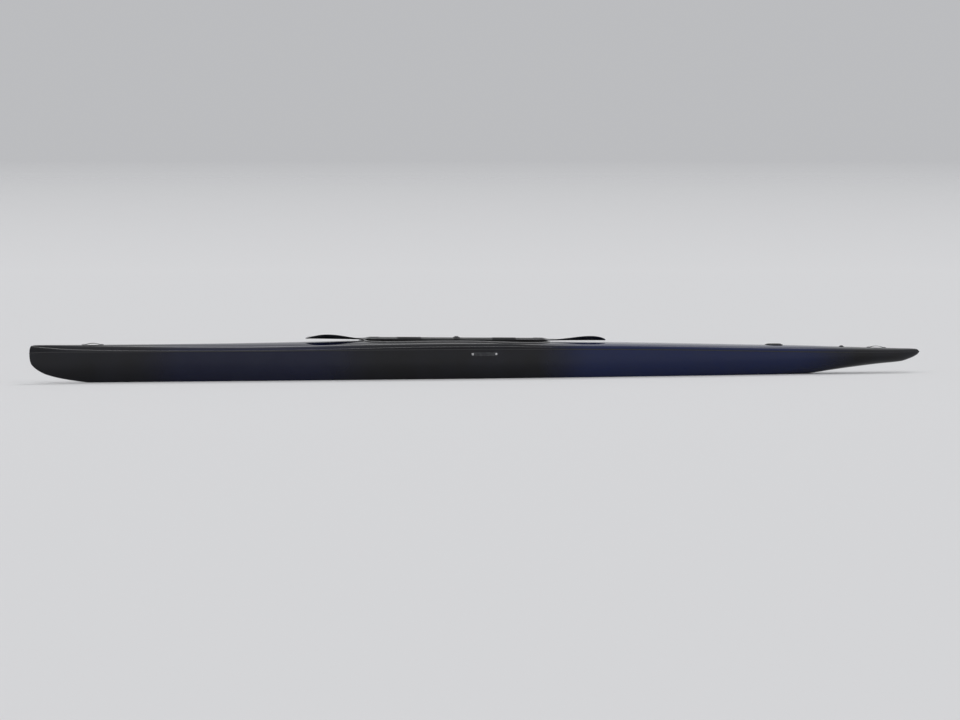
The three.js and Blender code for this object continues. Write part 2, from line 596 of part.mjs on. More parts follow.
function addPaddle() {
  const paddle = new THREE.Group();
  const middleZ = rest.aft.z + Math.tan(paddleSlope) * (PADDLE.centre - rest.aft.x);
  paddle.position.set(PADDLE.centre, 0, middleZ);
  paddle.rotation.y = -paddleSlope;
  boat.add(paddle);
  add("paddle_shaft", lengthways(SHAFT_RADIUS, 2 * (throat + SOCKET.overlap) - GAP), "carbon", paddle);
  const [lever, side] = [CLAMP.lever / 2, CLAMP.leverWidth / 2];
  const clamp = solid(lengthways(SHAFT_RADIUS + CLAMP.wall, CLAMP.length))
    .add(box(-lever, lever, -side, side, SHAFT_RADIUS, SHAFT_RADIUS + CLAMP.leverRise))
    .subtract(solid(lengthways(SHAFT_RADIUS + GAP, WIDE_OPEN)));
  add("paddle_clamp", clamp, "plastic", paddle);
  const sleeveLength = SOCKET.length + SOCKET.overlap;
  const boreLength = 80;
  const sleeve = lengthways(SHAFT_RADIUS + SOCKET.wall, sleeveLength)
    .translate(SOCKET.overlap - sleeveLength / 2, 0, 0);
  const bore = lengthways(SHAFT_RADIUS + GAP, boreLength).translate(SOCKET.overlap - boreLength / 2, 0, 0);
  const blade = solid(bladeGeometry()).add(solid(sleeve)).subtract(solid(bore)).translate([throat, 0, 0]);
  add("paddle_blade_fore", blade, "carbon", paddle);
  add("paddle_blade_aft", blade.mirror([1, 0, 0]), "carbon", paddle);
}

addHull();
addCockpitFittings();
addBailer();
addFootboard();
addFootStrap();
addHandles();
addDeckFittings();
addRudder();
addPaddle();

export default boat;
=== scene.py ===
# %% [markdown]
# # A surf ski, dressed around its fixed frame
# A surf ski is a long, narrow racing kayak that is sat on and not in: a sealed shell of thin laminate
# with a moulded cockpit, a fin that the feet steer, and a double-bladed paddle. The frame holds its
# solids with plain faces. Each step below gives one of them the skin, the seams and the finish of the
# real thing. Everything is in metres: +X points to the bow, +Y to port and +Z up, and z = 0 is the
# waterline.

# %% The fixed frame
import math

import bmesh
import bpy
import numpy as np
from mathutils import Euler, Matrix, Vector


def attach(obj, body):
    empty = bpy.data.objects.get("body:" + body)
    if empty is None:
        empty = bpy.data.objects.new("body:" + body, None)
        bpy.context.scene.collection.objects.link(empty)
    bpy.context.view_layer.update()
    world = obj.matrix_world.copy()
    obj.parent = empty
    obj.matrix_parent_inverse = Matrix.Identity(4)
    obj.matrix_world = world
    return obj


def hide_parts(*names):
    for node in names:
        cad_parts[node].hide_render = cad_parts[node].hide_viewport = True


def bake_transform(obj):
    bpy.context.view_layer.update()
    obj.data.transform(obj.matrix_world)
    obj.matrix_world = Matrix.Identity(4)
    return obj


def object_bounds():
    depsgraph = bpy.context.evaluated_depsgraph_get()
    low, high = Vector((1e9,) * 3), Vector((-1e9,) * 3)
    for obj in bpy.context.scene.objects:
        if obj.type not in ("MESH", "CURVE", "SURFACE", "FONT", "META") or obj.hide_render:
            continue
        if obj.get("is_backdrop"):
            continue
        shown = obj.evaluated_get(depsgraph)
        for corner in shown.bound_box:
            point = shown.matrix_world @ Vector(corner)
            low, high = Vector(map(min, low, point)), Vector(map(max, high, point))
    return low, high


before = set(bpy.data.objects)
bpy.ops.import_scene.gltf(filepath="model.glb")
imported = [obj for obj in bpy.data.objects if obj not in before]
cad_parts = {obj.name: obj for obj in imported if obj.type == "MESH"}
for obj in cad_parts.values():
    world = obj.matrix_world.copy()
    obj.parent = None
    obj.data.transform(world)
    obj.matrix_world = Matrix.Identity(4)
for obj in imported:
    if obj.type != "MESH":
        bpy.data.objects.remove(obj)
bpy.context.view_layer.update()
scene = bpy.context.scene

# %% [markdown]
# ## The camera
# The photograph is taken from far off and barely above the water, with the port side and the bow towards
# the viewer. The horizon and the boat's two ends gave the distance, 51 m, and the height, 1.9 m. A wide
# lens from nearby would swell the bow, so the same far place is kept, with a long lens that fills the
# frame.

# %% Camera
VIEW_AZIMUTH = math.radians(162)
VIEW_ELEVATION = math.radians(2.09)
VIEW_DISTANCE = 51.27
VIEW_AIM = Vector((0.02, 0, 0.12))
LENS, SENSOR = 281, 36  # millimetres
SEEN_TO = 400  # past the far edge of the floor
level = math.cos(VIEW_ELEVATION)
toward_camera = Vector(
    (math.sin(VIEW_AZIMUTH) * level, -math.cos(VIEW_AZIMUTH) * level, math.sin(VIEW_ELEVATION))
)
camera = bpy.data.objects.new("camera", bpy.data.cameras.new("camera"))
camera.data.lens = LENS
camera.data.sensor_width = SENSOR
camera.data.clip_end = SEEN_TO
camera.location = VIEW_AIM + toward_camera * VIEW_DISTANCE
camera.rotation_mode = "QUATERNION"
camera.rotation_quaternion = (-toward_camera).to_track_quat("-Z", "Y")
scene.collection.objects.link(camera)
scene.camera = camera
print("camera height", round(camera.location.z, 2))

# %% [markdown]
# ## From arrays to meshes
# A boat's shell is a function of two numbers, how far along and how far around, so it is worked out as a
# whole grid of points with numpy. The same helper turns any such grid into faces, adds a UV map that
# counts metres walked along both directions, and welds the places where a grid closes on itself.


# %% Patches and pieces
def patch(grid, around=True, along=False, flip=None):
    """One surface from a grid of points with the shape (rows, columns, 3).

    Face (i, j) joins points (i, j), (i, j + 1), (i + 1, j + 1) and (i + 1, j). A ring that runs around and
    not along is closed at both ends by a fan from the mean of the end row. flip=None turns the faces of a
    closed surface outwards, by the sign of its volume, the sum of a . (b x c) / 6 over its triangles.
    """
    rows, columns = grid.shape[:2]
    full = np.concatenate([grid, grid[:, :1]], axis=1) if around else grid
    full = np.concatenate([full, full[:1]], axis=0) if along else full
    u, v = np.zeros(full.shape[:2]), np.zeros(full.shape[:2])
    u[1:] = np.cumsum(np.linalg.norm(np.diff(full, axis=0), axis=2), axis=0)
    v[:, 1:] = np.cumsum(np.linalg.norm(np.diff(full, axis=1), axis=2), axis=1)
    uv = np.stack([u, v], axis=2)
    i, j = np.indices((full.shape[0] - 1, full.shape[1] - 1)).reshape(2, -1)
    i1, j1 = (i + 1) % rows, (j + 1) % columns
    quads = np.stack([i * columns + j, i * columns + j1, i1 * columns + j1, i1 * columns + j], axis=1)
    quad_uv = np.stack([uv[i, j], uv[i, j + 1], uv[i + 1, j + 1], uv[i + 1, j]], axis=1)
    points = grid.reshape(-1, 3)
    triangles = np.zeros((0, 3), int)
    if around and not along:
        a = np.arange(columns)
        b = (a + 1) % columns
        centre = np.full(columns, rows * columns)
        first = np.stack([centre, b, a], axis=1)
        last = np.stack([centre + 1, a + (rows - 1) * columns, b + (rows - 1) * columns], axis=1)
        triangles = np.concatenate([first, last])
        points = np.concatenate([points, grid[[0, -1]].mean(axis=1)])
    if flip is None:
        corners = np.concatenate([quads[:, :3], quads[:, [0, 2, 3]], triangles])
        p, q, r = (points[corners[:, k]] for k in range(3))
        flip = np.einsum("ij,ij->", p - points[0], np.cross(q - points[0], r - points[0])) < 0
    if flip:
        quads, quad_uv, triangles = quads[:, ::-1], quad_uv[:, ::-1], triangles[:, ::-1]
    return points, quads, quad_uv, triangles, points[triangles][:, :, :2]


WELD, SLIVER = 2e-6, 1e-6  # points this close become one, and faces this thin are taken out


def piece(name, patches, body, finish, replaces=(), sharp=35):
    """Joins patches into one object that rides on a body of the frame, or on none. sharp is the angle past
    which an edge is kept crisp, in degrees."""
    starts = np.cumsum([0] + [len(p[0]) for p in patches])
    quads = np.concatenate([p[1] + s for p, s in zip(patches, starts)])
    triangles = np.concatenate([p[3] + s for p, s in zip(patches, starts)])
    uv = np.concatenate([p[2].reshape(-1, 2) for p in patches] + [p[4].reshape(-1, 2) for p in patches])
    mesh = bpy.data.meshes.new(name)
    mesh.from_pydata(np.concatenate([p[0] for p in patches]), [], quads.tolist() + triangles.tolist())
    mesh.uv_layers.new(name="UVMap").data.foreach_set("uv", uv.astype(np.float32).ravel())
    weld = bmesh.new()
    weld.from_mesh(mesh)
    bmesh.ops.remove_doubles(weld, verts=weld.verts, dist=WELD)
    bmesh.ops.dissolve_degenerate(weld, edges=weld.edges, dist=SLIVER)
    weld.to_mesh(mesh)
    weld.free()
    mesh.shade_smooth()
    mesh.set_sharp_from_angle(angle=math.radians(sharp))
    mesh.materials.append(finish)
    made = bpy.data.objects.new(name, mesh)
    scene.collection.objects.link(made)
    if body:
        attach(made, body)
    if replaces:
        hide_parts(*replaces)
    print(name, "faces", len(mesh.polygons))
    return made


# %% [markdown]
# ## Small shapes that many pieces share
# Straps, lips, tubes and tracks are a flat profile carried along a path. Knobs, caps and screws are a
# profile spun about an axis. Plates are an outline whose edge is rounded by a few rings. A few formulas
# come back in nearly every step, so they get a name first.


# %% Formulas that come back
def full_turn(count):
    """Angles once around, in equal steps."""
    return np.linspace(0, 2 * np.pi, count, endpoint=False)


def grid_of(x, y, z):
    """One grid of points from its three coordinates, each spread to the full shape."""
    return np.stack(np.broadcast_arrays(x, y, z), axis=2)


def power_of(value, power):
    """|value|^power with the sign of the value."""
    return np.sign(value) * np.abs(value) ** power


def arch(share, power):
    """A superellipse from its middle to its end: (1 - |share|^n)^(1/n)."""
    return (1 - np.abs(share) ** power) ** (1 / power)


def rounded_off(t, start, length):
    """1 up to the start, then a quarter of an ellipse down to 0: sqrt(1 - ((t - start) / length)^2). Where
    it shapes rings, the length runs a hair past the last one, so that no ring shrinks to a point."""
    return np.sqrt(np.clip(1 - ((t - start).clip(0) / length) ** 2, 0, 1))


def unit(v):
    """The same directions with length 1."""
    return v / np.maximum(np.linalg.norm(v, axis=-1, keepdims=True), 1e-12)


def bent(a, p, b, t):
    """A curve from a to b that is pulled towards p: (1 - t)^2 a + 2 t (1 - t) p + t^2 b."""
    return (1 - t) ** 2 * a + 2 * t * (1 - t) * p + t**2 * b


def walked(path):
    """Metres walked along a path at each of its points."""
    return np.concatenate([[0], np.cumsum(np.linalg.norm(np.diff(path, axis=0), axis=1))])


def along_path(path, at):
    """The points at given distances along a path."""
    return np.stack([np.interp(at, walked(path), path[:, k]) for k in range(3)], axis=1)


# %% Paths, profiles and plates
def sweep(path, profile, up=(0, 0, 1), closed=False):
    """Carries a profile along a path: point (i, j) = path i + side i * first number of profile j
    + lift i * its second number, with side = tangent x up and lift = side x tangent."""
    ends = (np.roll(path, -1, axis=0) - np.roll(path, 1, axis=0)) if closed else np.gradient(path, axis=0)
    tangent = unit(ends)
    side = unit(np.cross(tangent, up))
    lift = np.cross(side, tangent)
    shape = profile if profile.ndim == 3 else profile[None]
    return path[:, None] + side[:, None] * shape[..., :1] + lift[:, None] * shape[..., 1:]


def rounded(width, height, power, steps):
    """A superellipse: (width / 2 * cos^(2/power), height / 2 * sin^(2/power)), signs kept."""
    a = full_turn(steps)
    across, up = power_of(np.cos(a), 2 / power) * width / 2, power_of(np.sin(a), 2 / power) * height / 2
    return np.stack([across, up], axis=1)


def turned(profile, sides, waves=0):
    """Spins (radius, height) rows about Z: point (i, j) = (r cos t, r sin t, h). A third number in the rows
    makes the radius wave as it goes around: r = radius * (1 + number * cos(waves * t))."""
    rows = np.asarray(profile, float)[:, :, None]
    t = full_turn(sides)[None]
    r = rows[:, 0] * (1 + rows[:, 2] * np.cos(waves * t)) if waves else rows[:, 0]
    return grid_of(r * np.cos(t), r * np.sin(t), rows[:, 1])


def moved(grid, turn, at=(0, 0, 0)):
    """Turns a grid by three Euler angles in degrees, then shifts it."""
    matrix = np.array(Euler([math.radians(t) for t in turn]).to_matrix())
    return grid @ matrix.T + at


def plate(outline, low, high, edge):
    """A plate between two heights from an outline (columns, 2), its edge rounded over a distance: rings
    step in by edge * (1 - sin a) while the height steps in by edge * (1 - cos a). One more ring just inside
    the edge, at the height of the flat, keeps the shading of the flat even."""
    ahead = np.roll(outline, -1, axis=0) - np.roll(outline, 1, axis=0)
    out = unit(np.stack([ahead[:, 1], -ahead[:, 0]], axis=1))
    area = np.sum(outline[:, 0] * np.roll(outline[:, 1], -1) - np.roll(outline[:, 0], -1) * outline[:, 1])
    a = np.linspace(0, np.pi / 2, 4)
    inward = np.concatenate([[1.2], 1 - np.sin(a)]) * edge * np.sign(area)
    rise = np.concatenate([[0], 1 - np.cos(a)]) * edge
    rings = outline - out * np.concatenate([inward, inward[::-1]])[:, None, None]
    height = np.concatenate([low + rise, (high - rise)[::-1]])[:, None]
    return grid_of(rings[..., 0], rings[..., 1], height)


# %% [markdown]
# ## The boat's lines
# A builder draws a boat as lines: the keel, the seam between hull and deck, the deck's crest and the
# width. Cross-sections hang between them. Each section here is a superellipse, |y / half|^n + |z /
# depth|^n = 1: n near 1.4 gives the sharp vee of the bow, n above 2 the round belly amidships. The solids
# were made from these same lines, so a fine mesh of them lies exactly on the frame.


# %% Lines
def curve(rows, values):
    """A smooth curve through points that never overshoots: a cubic between neighbours, whose slope at each
    point is the harmonic mean of the slopes on its two sides, or nothing at a peak."""
    order = np.argsort(rows)
    x, y = np.asarray(rows, float)[order], np.asarray(values, float)[order]
    h = np.diff(x)
    step = np.diff(y) / h
    a, b = step[:-1], step[1:]
    inner = np.where(a * b > 0, 2 * a * b / np.where(a + b == 0, 1, a + b), 0)
    slope = np.concatenate([step[:1], inner, step[-1:]])

    def value(at):
        k = np.clip(np.searchsorted(x, at, side="right") - 1, 0, len(h) - 1)
        t = np.clip((at - x[k]) / h[k], 0, 1)
        near = (2 * t**3 - 3 * t**2 + 1) * y[k] + (t**3 - 2 * t**2 + t) * h[k] * slope[k]
        return near + (3 * t**2 - 2 * t**3) * y[k + 1] + (t**3 - t**2) * h[k] * slope[k + 1]

    return value


def softened(line, reach, low, high):
    """The mean of a curve over the stretch within reach of each place, so that its bend changes gently too.
    The stretch shrinks to nothing at low and high, where the curve is kept as it is."""
    offsets = np.linspace(-1, 1, 15)

    def value(at):
        at = np.asarray(at, float)[..., None]
        room = np.clip(np.minimum(at - low, high - at), 0, reach)
        return line(at + room * offsets).mean(axis=-1)

    return value


# x, keel, seam, deck and half width in millimetres, then the powers below and above the seam
LINES = np.array([
    [3200, 150, 200, 238, 5, 1.8, 2.0], [3187, 126, 203, 250, 10, 1.7, 2.0],
    [3165, 103, 205, 254, 15, 1.6, 2.0], [3135, 81, 206, 255, 19, 1.5, 1.9],
    [3080, 55, 207, 255, 25, 1.45, 1.9], [2950, 23, 207, 254, 38, 1.4, 1.8],
    [2700, -12, 206, 253, 59, 1.4, 1.8], [2300, -52, 205, 252, 94, 1.5, 1.8],
    [1800, -85, 204, 253, 133, 1.7, 1.8], [1300, -102, 203, 257, 167, 1.9, 2.0],
    [900, -109, 203, 262, 190, 2.05, 2.4], [400, -112, 202, 263, 213, 2.15, 2.9],
    [0, -112, 200, 261, 223, 2.2, 3.0], [-450, -110, 196, 241, 224, 2.2, 3.2],
    [-900, -101, 190, 232, 215, 2.15, 3.2], [-1400, -80, 180, 220, 198, 2.05, 3.0],
    [-1900, -46, 167, 206, 171, 1.95, 2.8], [-2300, -8, 156, 196, 142, 1.85, 2.6],
    [-2650, 36, 148, 183, 106, 1.8, 2.4], [-2900, 63, 144, 174, 74, 1.8, 2.2],
    [-3060, 77, 143, 168, 50, 1.8, 2.1], [-3130, 97, 143, 166, 36, 1.9, 2.0],
    [-3178, 119, 143, 162, 20, 2.0, 2.0], [-3200, 136, 143, 150, 6, 2.0, 2.0],
])  # fmt: skip
LINES[:, :5] *= 0.001
keel, seam, deck, half, vee, crown = (curve(LINES[:, 0], LINES[:, k]) for k in range(1, 7))
BOW = LINES[0, 0]
TIP_ROUND = 0.005
STEM_ROUND = 0.016


def blunt(x):
    """Rounds the last millimetres of the stem and the stern."""
    return rounded_off(np.abs(x), BOW - TIP_ROUND, TIP_ROUND)


def tapered(x):
    """Rounds the stem's two corners in the side view: (1 - t^3)^(1/3) over the last stretch at each end."""
    return arch(np.clip((np.abs(x) - BOW + STEM_ROUND) / STEM_ROUND, 0, 1), 3)


def deck_height(x, y):
    """Height of the deck over a point: seam + rise * (1 - |y / half|^n)^(1/n)."""
    return seam(x) + (deck(x) - seam(x)) * arch(np.clip(np.abs(y) / half(x), 0, 1), crown(x))


print("beam", round(2 * float(half(np.array(-0.2))), 3))

# %% [markdown]
# ## Finishes
# The boat in the photograph is dark and shiny: near black at the bow, deep navy from there on, black
# beside the cockpit, navy again behind it and dark at the stern's tip. Gelcoat is pigmented resin under
# its own gloss. The shell is one clear-coated surface whose colour changes with x in those bands, with a
# faint orange peel in the gloss and fine rubbing marks. Nodes are added by one short helper: sockets link,
# numbers are set.


# %% Node helper
def finish(name, base=(0.5, 0.5, 0.5), rough=0.5, others=(), coordinates="Object"):
    """A new material: its node tree, its one glossy shader and the coordinates that its pattern reads.
    Uniform values are set on the shader's own sockets."""
    made = bpy.data.materials.new(name)
    made.use_nodes = True
    shader = made.node_tree.nodes["Principled BSDF"]
    for socket, value in {"Base Color": (*base, 1), "Roughness": rough, **dict(others)}.items():
        shader.inputs[socket].default_value = value
    return made, made.node_tree, shader, node(made.node_tree, "TexCoord").outputs[coordinates]


def node(tree, kind, inputs=None, **settings):
    """Adds a shader node. A socket given as an input is linked, any other value is set."""
    made = tree.nodes.new("ShaderNode" + kind)
    for key, value in settings.items():
        setattr(made, key, value)
    for key, value in (inputs or {}).items():
        if isinstance(value, bpy.types.NodeSocket):
            tree.links.new(value, made.inputs[key])
        else:
            made.inputs[key].default_value = value
    return made


def maths(tree, operation, *values):
    """One sum, product or other operation on sockets and numbers."""
    return node(tree, "Math", dict(enumerate(values)), operation=operation).outputs[0]


def noise(tree, vector, scale, detail=3.0, roughness=0.5):
    """Cloudy noise around 0.5, with so many cells to the metre."""
    values = {"Vector": vector, "Scale": scale, "Detail": detail, "Roughness": roughness}
    return node(tree, "TexNoise", values).outputs["Fac"]


def ramp(tree, factor, stops):
    """Colours by position, eased from one to the next: stops are (position, colour) rows."""
    made = node(tree, "ValToRGB", {"Fac": factor})
    made.color_ramp.interpolation = "EASE"
    while len(made.color_ramp.elements) < len(stops):
        made.color_ramp.elements.new(1.0)
    for element, (position, colour) in zip(made.color_ramp.elements, stops):
        element.position = position
        element.color = (*colour, 1)
    return made.outputs["Color"]


def spread(tree, value, low, high, new_low, new_high):
    """Stretches a value from one range to another, clamped."""
    names = ("Value", "From Min", "From Max", "To Min", "To Max")
    return node(tree, "MapRange", dict(zip(names, (value, low, high, new_low, new_high)))).outputs["Result"]


def mixed(tree, factor, a, b):
    """A colour between two, each of them a socket or three numbers."""
    a, b = ((*colour, 1) if isinstance(colour, tuple) else colour for colour in (a, b))
    return node(tree, "Mix", {"Factor": factor, "A": a, "B": b}, data_type="RGBA").outputs["Result"]


def feed(shader, socket, value):
    """Links a value to one of a node's own sockets."""
    shader.id_data.links.new(value, shader.inputs[socket])


def bump(tree, shader, height, strength, distance):
    """Shades the surface as if it stood off by a height, without moving it."""
    made = node(tree, "Bump", {"Height": height, "Strength": strength, "Distance": distance})
    feed(shader, "Normal", made.outputs["Normal"])


def stretched(tree, vector, scale):
    """Coordinates scaled by three numbers, so that a pattern runs long in one direction."""
    return node(tree, "Mapping", {"Vector": vector, "Scale": scale}).outputs["Vector"]


# %% Gelcoat
NAVY = (0.005, 0.012, 0.06)
MIDNIGHT = (0.004, 0.006, 0.026)
PITCH = (0.0035, 0.0035, 0.005)
FADED = (0.02, 0.024, 0.045)
RUBBED = (0.09, 0.1, 0.12)


def gelcoat(name, stops, rough=0.12):
    """Gelcoat under a clear coat: a colour ramp along x, a slow tint change, peel in the gloss, rubbed
    streaks.
    """
    coat = {"Coat Weight": 0.28, "Specular IOR Level": 0.2}
    made, tree, shader, place = finish(name, rough=rough, others=coat)
    x = node(tree, "SeparateXYZ", {"Vector": place}).outputs["X"]
    drift = maths(tree, "MULTIPLY_ADD", noise(tree, place, 3.0), 0.16, -0.08)
    along = spread(tree, maths(tree, "ADD", x, drift), -BOW, BOW, 0.0, 1.0)
    colour_by_x = ramp(tree, along, [((at + BOW) / (2 * BOW), colour) for at, colour in stops])
    tint = spread(tree, noise(tree, place, 7.0, 5.0), 0.35, 0.7, 0.0, 0.16)
    colour_by_x = mixed(tree, tint, colour_by_x, FADED)
    rubbed = noise(tree, stretched(tree, place, (2.0, 90.0, 90.0)), 6.0, 6.0, 0.7)
    marks = spread(tree, rubbed, 0.62, 0.72, 0.0, 1.0)
    patchy = spread(tree, noise(tree, place, 5.0), 0.45, 0.65, 0.0, 0.14)
    marks = maths(tree, "MULTIPLY", marks, patchy)
    feed(shader, "Base Color", mixed(tree, marks, colour_by_x, RUBBED))
    gloss = spread(tree, noise(tree, place, 14.0, 4.0), 0.3, 0.7, rough - 0.05, rough + 0.07)
    feed(shader, "Roughness", maths(tree, "MULTIPLY_ADD", marks, 0.9, gloss))
    peel = maths(tree, "MULTIPLY_ADD", marks, -0.8, noise(tree, place, 260.0, 1.0))
    bump(tree, shader, peel, 0.12, 0.0004)
    return made


# colour by place along the boat, from the stern to the bow
SHELL_STOPS = [
    (-3.2, PITCH), (-2.75, PITCH), (-2.2, NAVY), (-0.75, NAVY),
    (-0.3, PITCH), (0.8, PITCH), (1.3, MIDNIGHT), (2.1, MIDNIGHT), (2.5, PITCH),
]  # fmt: skip
shell_paint = gelcoat("gelcoat_shell", SHELL_STOPS)
cockpit_paint = gelcoat("gelcoat_cockpit", [(-0.5, (0.016, 0.017, 0.02)), (0.9, (0.022, 0.023, 0.026))], 0.3)


# %% [markdown]
# ### Carbon, foam, webbing, metal and plastic
# Carbon cloth is a 2 x 2 twill: each yarn passes over two and under two, and the step shifts by one yarn
# in each row, which gives the slanted ribs. With cell numbers m and n, a yarn of one direction lies on
# top where (m + n) mod 4 is below 2. Both a painted sheen, which colours the yarns on top lighter as if
# they caught the light, and the little humps of the yarns come from that one rule.


# %% Carbon
YARN = 0.002  # the width of one yarn


def carbon(name, coordinates="Object", axes=("X", "Y")):
    """Twill under a clear coat, laid out by two of the coordinates."""
    coat = {"Coat Weight": 1.0}
    made, tree, shader, place = finish(name, rough=0.28, others=coat, coordinates=coordinates)
    parts = node(tree, "SeparateXYZ", {"Vector": place}).outputs
    a, b = (maths(tree, "DIVIDE", parts[axis], YARN) for axis in axes)
    cells = maths(tree, "ADD", maths(tree, "FLOOR", a), maths(tree, "FLOOR", b))
    over = maths(tree, "LESS_THAN", maths(tree, "FLOORED_MODULO", cells, 4.0), 1.5)
    humps = [maths(tree, "SINE", maths(tree, "MULTIPLY", maths(tree, "FRACT", v), math.pi)) for v in (a, b)]
    height = node(tree, "Mix", {"Factor": over, "A": humps[0], "B": humps[1]}).outputs[0]
    # painted sheen: the yarns that lie on top are coloured lighter, as if they caught the light
    painted_yarn_sheen = mixed(tree, over, (0.006, 0.006, 0.007), (0.028, 0.029, 0.032))
    dust = spread(tree, noise(tree, place, 9.0, 6.0, 0.65), 0.55, 0.75, 0.0, 0.2)
    feed(shader, "Base Color", mixed(tree, dust, painted_yarn_sheen, (0.06, 0.06, 0.062)))
    feed(shader, "Roughness", spread(tree, over, 0.0, 1.0, 0.28, 0.42))
    bump(tree, shader, height, 0.25, 0.0002)
    return made


carbon_flat = carbon("carbon_flat")
carbon_upright = carbon("carbon_upright", axes=("X", "Z"))
carbon_tube = carbon("carbon_tube", "UV")


# %% Foam, webbing, metal and plastic
def foam(name, base):
    """Closed-cell foam: tiny open bubbles in the skin, and patches rubbed paler where it is sat on."""
    made, tree, shader, place = finish(name, base, rough=0.85)
    cells = node(tree, "TexVoronoi", {"Vector": place, "Scale": 900.0}).outputs["Distance"]
    worn = spread(tree, noise(tree, place, 12.0, 5.0), 0.4, 0.75, 0.0, 0.5)
    feed(shader, "Base Color", mixed(tree, worn, base, (0.11, 0.112, 0.118)))
    height = maths(tree, "ADD", cells, maths(tree, "MULTIPLY", noise(tree, place, 160.0), 0.6))
    bump(tree, shader, height, 0.5, 0.0004)
    return made


def webbing(name, base, ribs):
    """Flat woven strap: a sine along it times a sine across it, with a frayed, uneven colour, a painted
    shade that darkens the weave's dips and lightens its raised yarns, and the sheen of loose fibres. ribs
    are the two wave lengths."""
    made, tree, shader, place = finish(name, base, 0.8, {"Sheen Weight": 0.25})
    parts = node(tree, "SeparateXYZ", {"Vector": node(tree, "TexCoord").outputs["UV"]}).outputs
    turns = [maths(tree, "MULTIPLY", parts[k], 2 * math.pi / rib) for k, rib in enumerate(ribs)]
    height = maths(tree, "MULTIPLY", *(maths(tree, "SINE", turn) for turn in turns))
    fray_and_painted_shade = spread(tree, noise(tree, place, 60.0, 5.0), 0.35, 0.75, 0.0, 0.6)
    # painted shade: the raised yarns of the weave are coloured lighter and its dips darker
    fray_and_painted_shade = maths(tree, "ADD", fray_and_painted_shade, maths(tree, "MULTIPLY", height, 0.18))
    feed(shader, "Base Color", mixed(tree, fray_and_painted_shade, base, (0.075, 0.078, 0.085)))
    bump(tree, shader, height, 0.6, 0.0004)
    return made


def brushed(name, base, rough, grain=(2.0, 300.0, 300.0)):
    """Metal with fine grain in one direction, small scratches and a little grime."""
    made, tree, shader, place = finish(name, base, rough, {"Metallic": 1.0})
    lines = noise(tree, stretched(tree, place, grain), 5.0, 5.0, 0.7)
    feed(shader, "Roughness", spread(tree, lines, 0.3, 0.7, rough - 0.08, rough + 0.14))
    grime = spread(tree, noise(tree, place, 25.0, 6.0, 0.6), 0.5, 0.8, 0.0, 0.45)
    feed(shader, "Base Color", mixed(tree, grime, base, tuple(c * 0.35 for c in base)))
    bump(tree, shader, lines, 0.08, 0.0002)
    return made


def moulded(name, base=(0.014, 0.014, 0.016), rough=0.42):
    """Injection-moulded plastic: a fine spark-eroded grain, rubbed smoother in places."""
    made, tree, shader, place = finish(name, base, rough)
    smooth = noise(tree, place, 30.0, 4.0)
    feed(shader, "Roughness", spread(tree, smooth, 0.3, 0.7, rough - 0.1, rough + 0.12))
    pale = spread(tree, smooth, 0.5, 0.8, 0.0, 0.25)
    feed(shader, "Base Color", mixed(tree, pale, base, (0.06, 0.06, 0.064)))
    bump(tree, shader, noise(tree, place, 1400.0, 2.0), 0.35, 0.0002)
    return made


pad_foam = foam("pad_foam", (0.045, 0.047, 0.052))
strap_web = webbing("strap_web", (0.012, 0.013, 0.016), (0.0017, 0.00136))
anodised = brushed("anodised", (0.5, 0.51, 0.53), 0.36)
stainless = brushed("stainless", (0.62, 0.62, 0.63), 0.24, (300.0, 300.0, 2.0))
plastic = moulded("plastic")
print("finishes", len(bpy.data.materials))

# Every solid but one gets a piece of its own below. The rudder's stock is right as it is, a plain round bar,
# so it keeps its solid and takes the steel.
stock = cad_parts["rudder_stock"]
stock.data.materials.clear()
stock.data.materials.append(stainless)

# %% [markdown]
# ## Hull
# The hull is a thin laminate shell, moulded in one piece from keel to seam. It could be a block, but the
# cockpit hangs inside it, so it is made as what it is: an outer skin, an inner skin 4 mm within, and the
# edge between them at the seam. Stations crowd together towards both ends, where the stem and the stern
# curve.

# %% Hull shell
STATIONS = BOW * np.sin(np.linspace(-np.pi / 2, np.pi / 2, 321))
LAMINATE = 0.004


def hull_section(x, a, inset):
    """y = half * cos(a)^(2/n), z = seam - depth * sin(a)^(2/n), a from 0 at the port seam to pi at the
    starboard one. The inset shrinks both, and never by more than 0.6."""
    x, a = x[:, None], a[None]
    depth = seam(x) - keel(x)
    narrow = 1 - np.minimum(inset / half(x), 0.6)
    shallow = 1 - np.minimum(inset / depth, 0.6)
    y = half(x) * blunt(x) * narrow * power_of(np.cos(a), 2 / vee(x))
    z = seam(x) - depth * tapered(x) * shallow * np.abs(np.sin(a)) ** (2 / vee(x))
    return grid_of(x * (1 - 2 * inset / BOW), y, z)


girth = np.linspace(0, np.pi, 73)
skins = [hull_section(STATIONS, girth, 0), hull_section(STATIONS, girth[::-1], LAMINATE)]
hull_grid = np.concatenate(skins, axis=1)
piece("hull_shell", [patch(hull_grid)], "boat", shell_paint, ["hull"], sharp=50)

# %% [markdown]
# ## Deck
# The deck is the other half of the mould. It is a sheet with one opening, so it is drawn from the
# opening's edge outwards to the seam, on each side, and the two sides are welded along the middle where
# there is no opening. A Solidify modifier then gives the sheet its thickness, inwards.

# %% The cockpit's plan
AFT, FORE = -0.45, 0.86
MIDDLE, REACH = (AFT + FORE) / 2, (FORE - AFT) / 2
PLAN_POWER = 5
FORE_WIDTH = 0.14  # half the opening's width at its front end
width_line = curve(
    [AFT, -0.27, -0.1, 0.08, 0.26, 0.5, FORE],
    [0.18, 0.19, 0.187, 0.168, 0.154, 0.147, FORE_WIDTH],
)  # fmt: skip
cockpit_width = softened(width_line, 0.06, AFT, FORE)


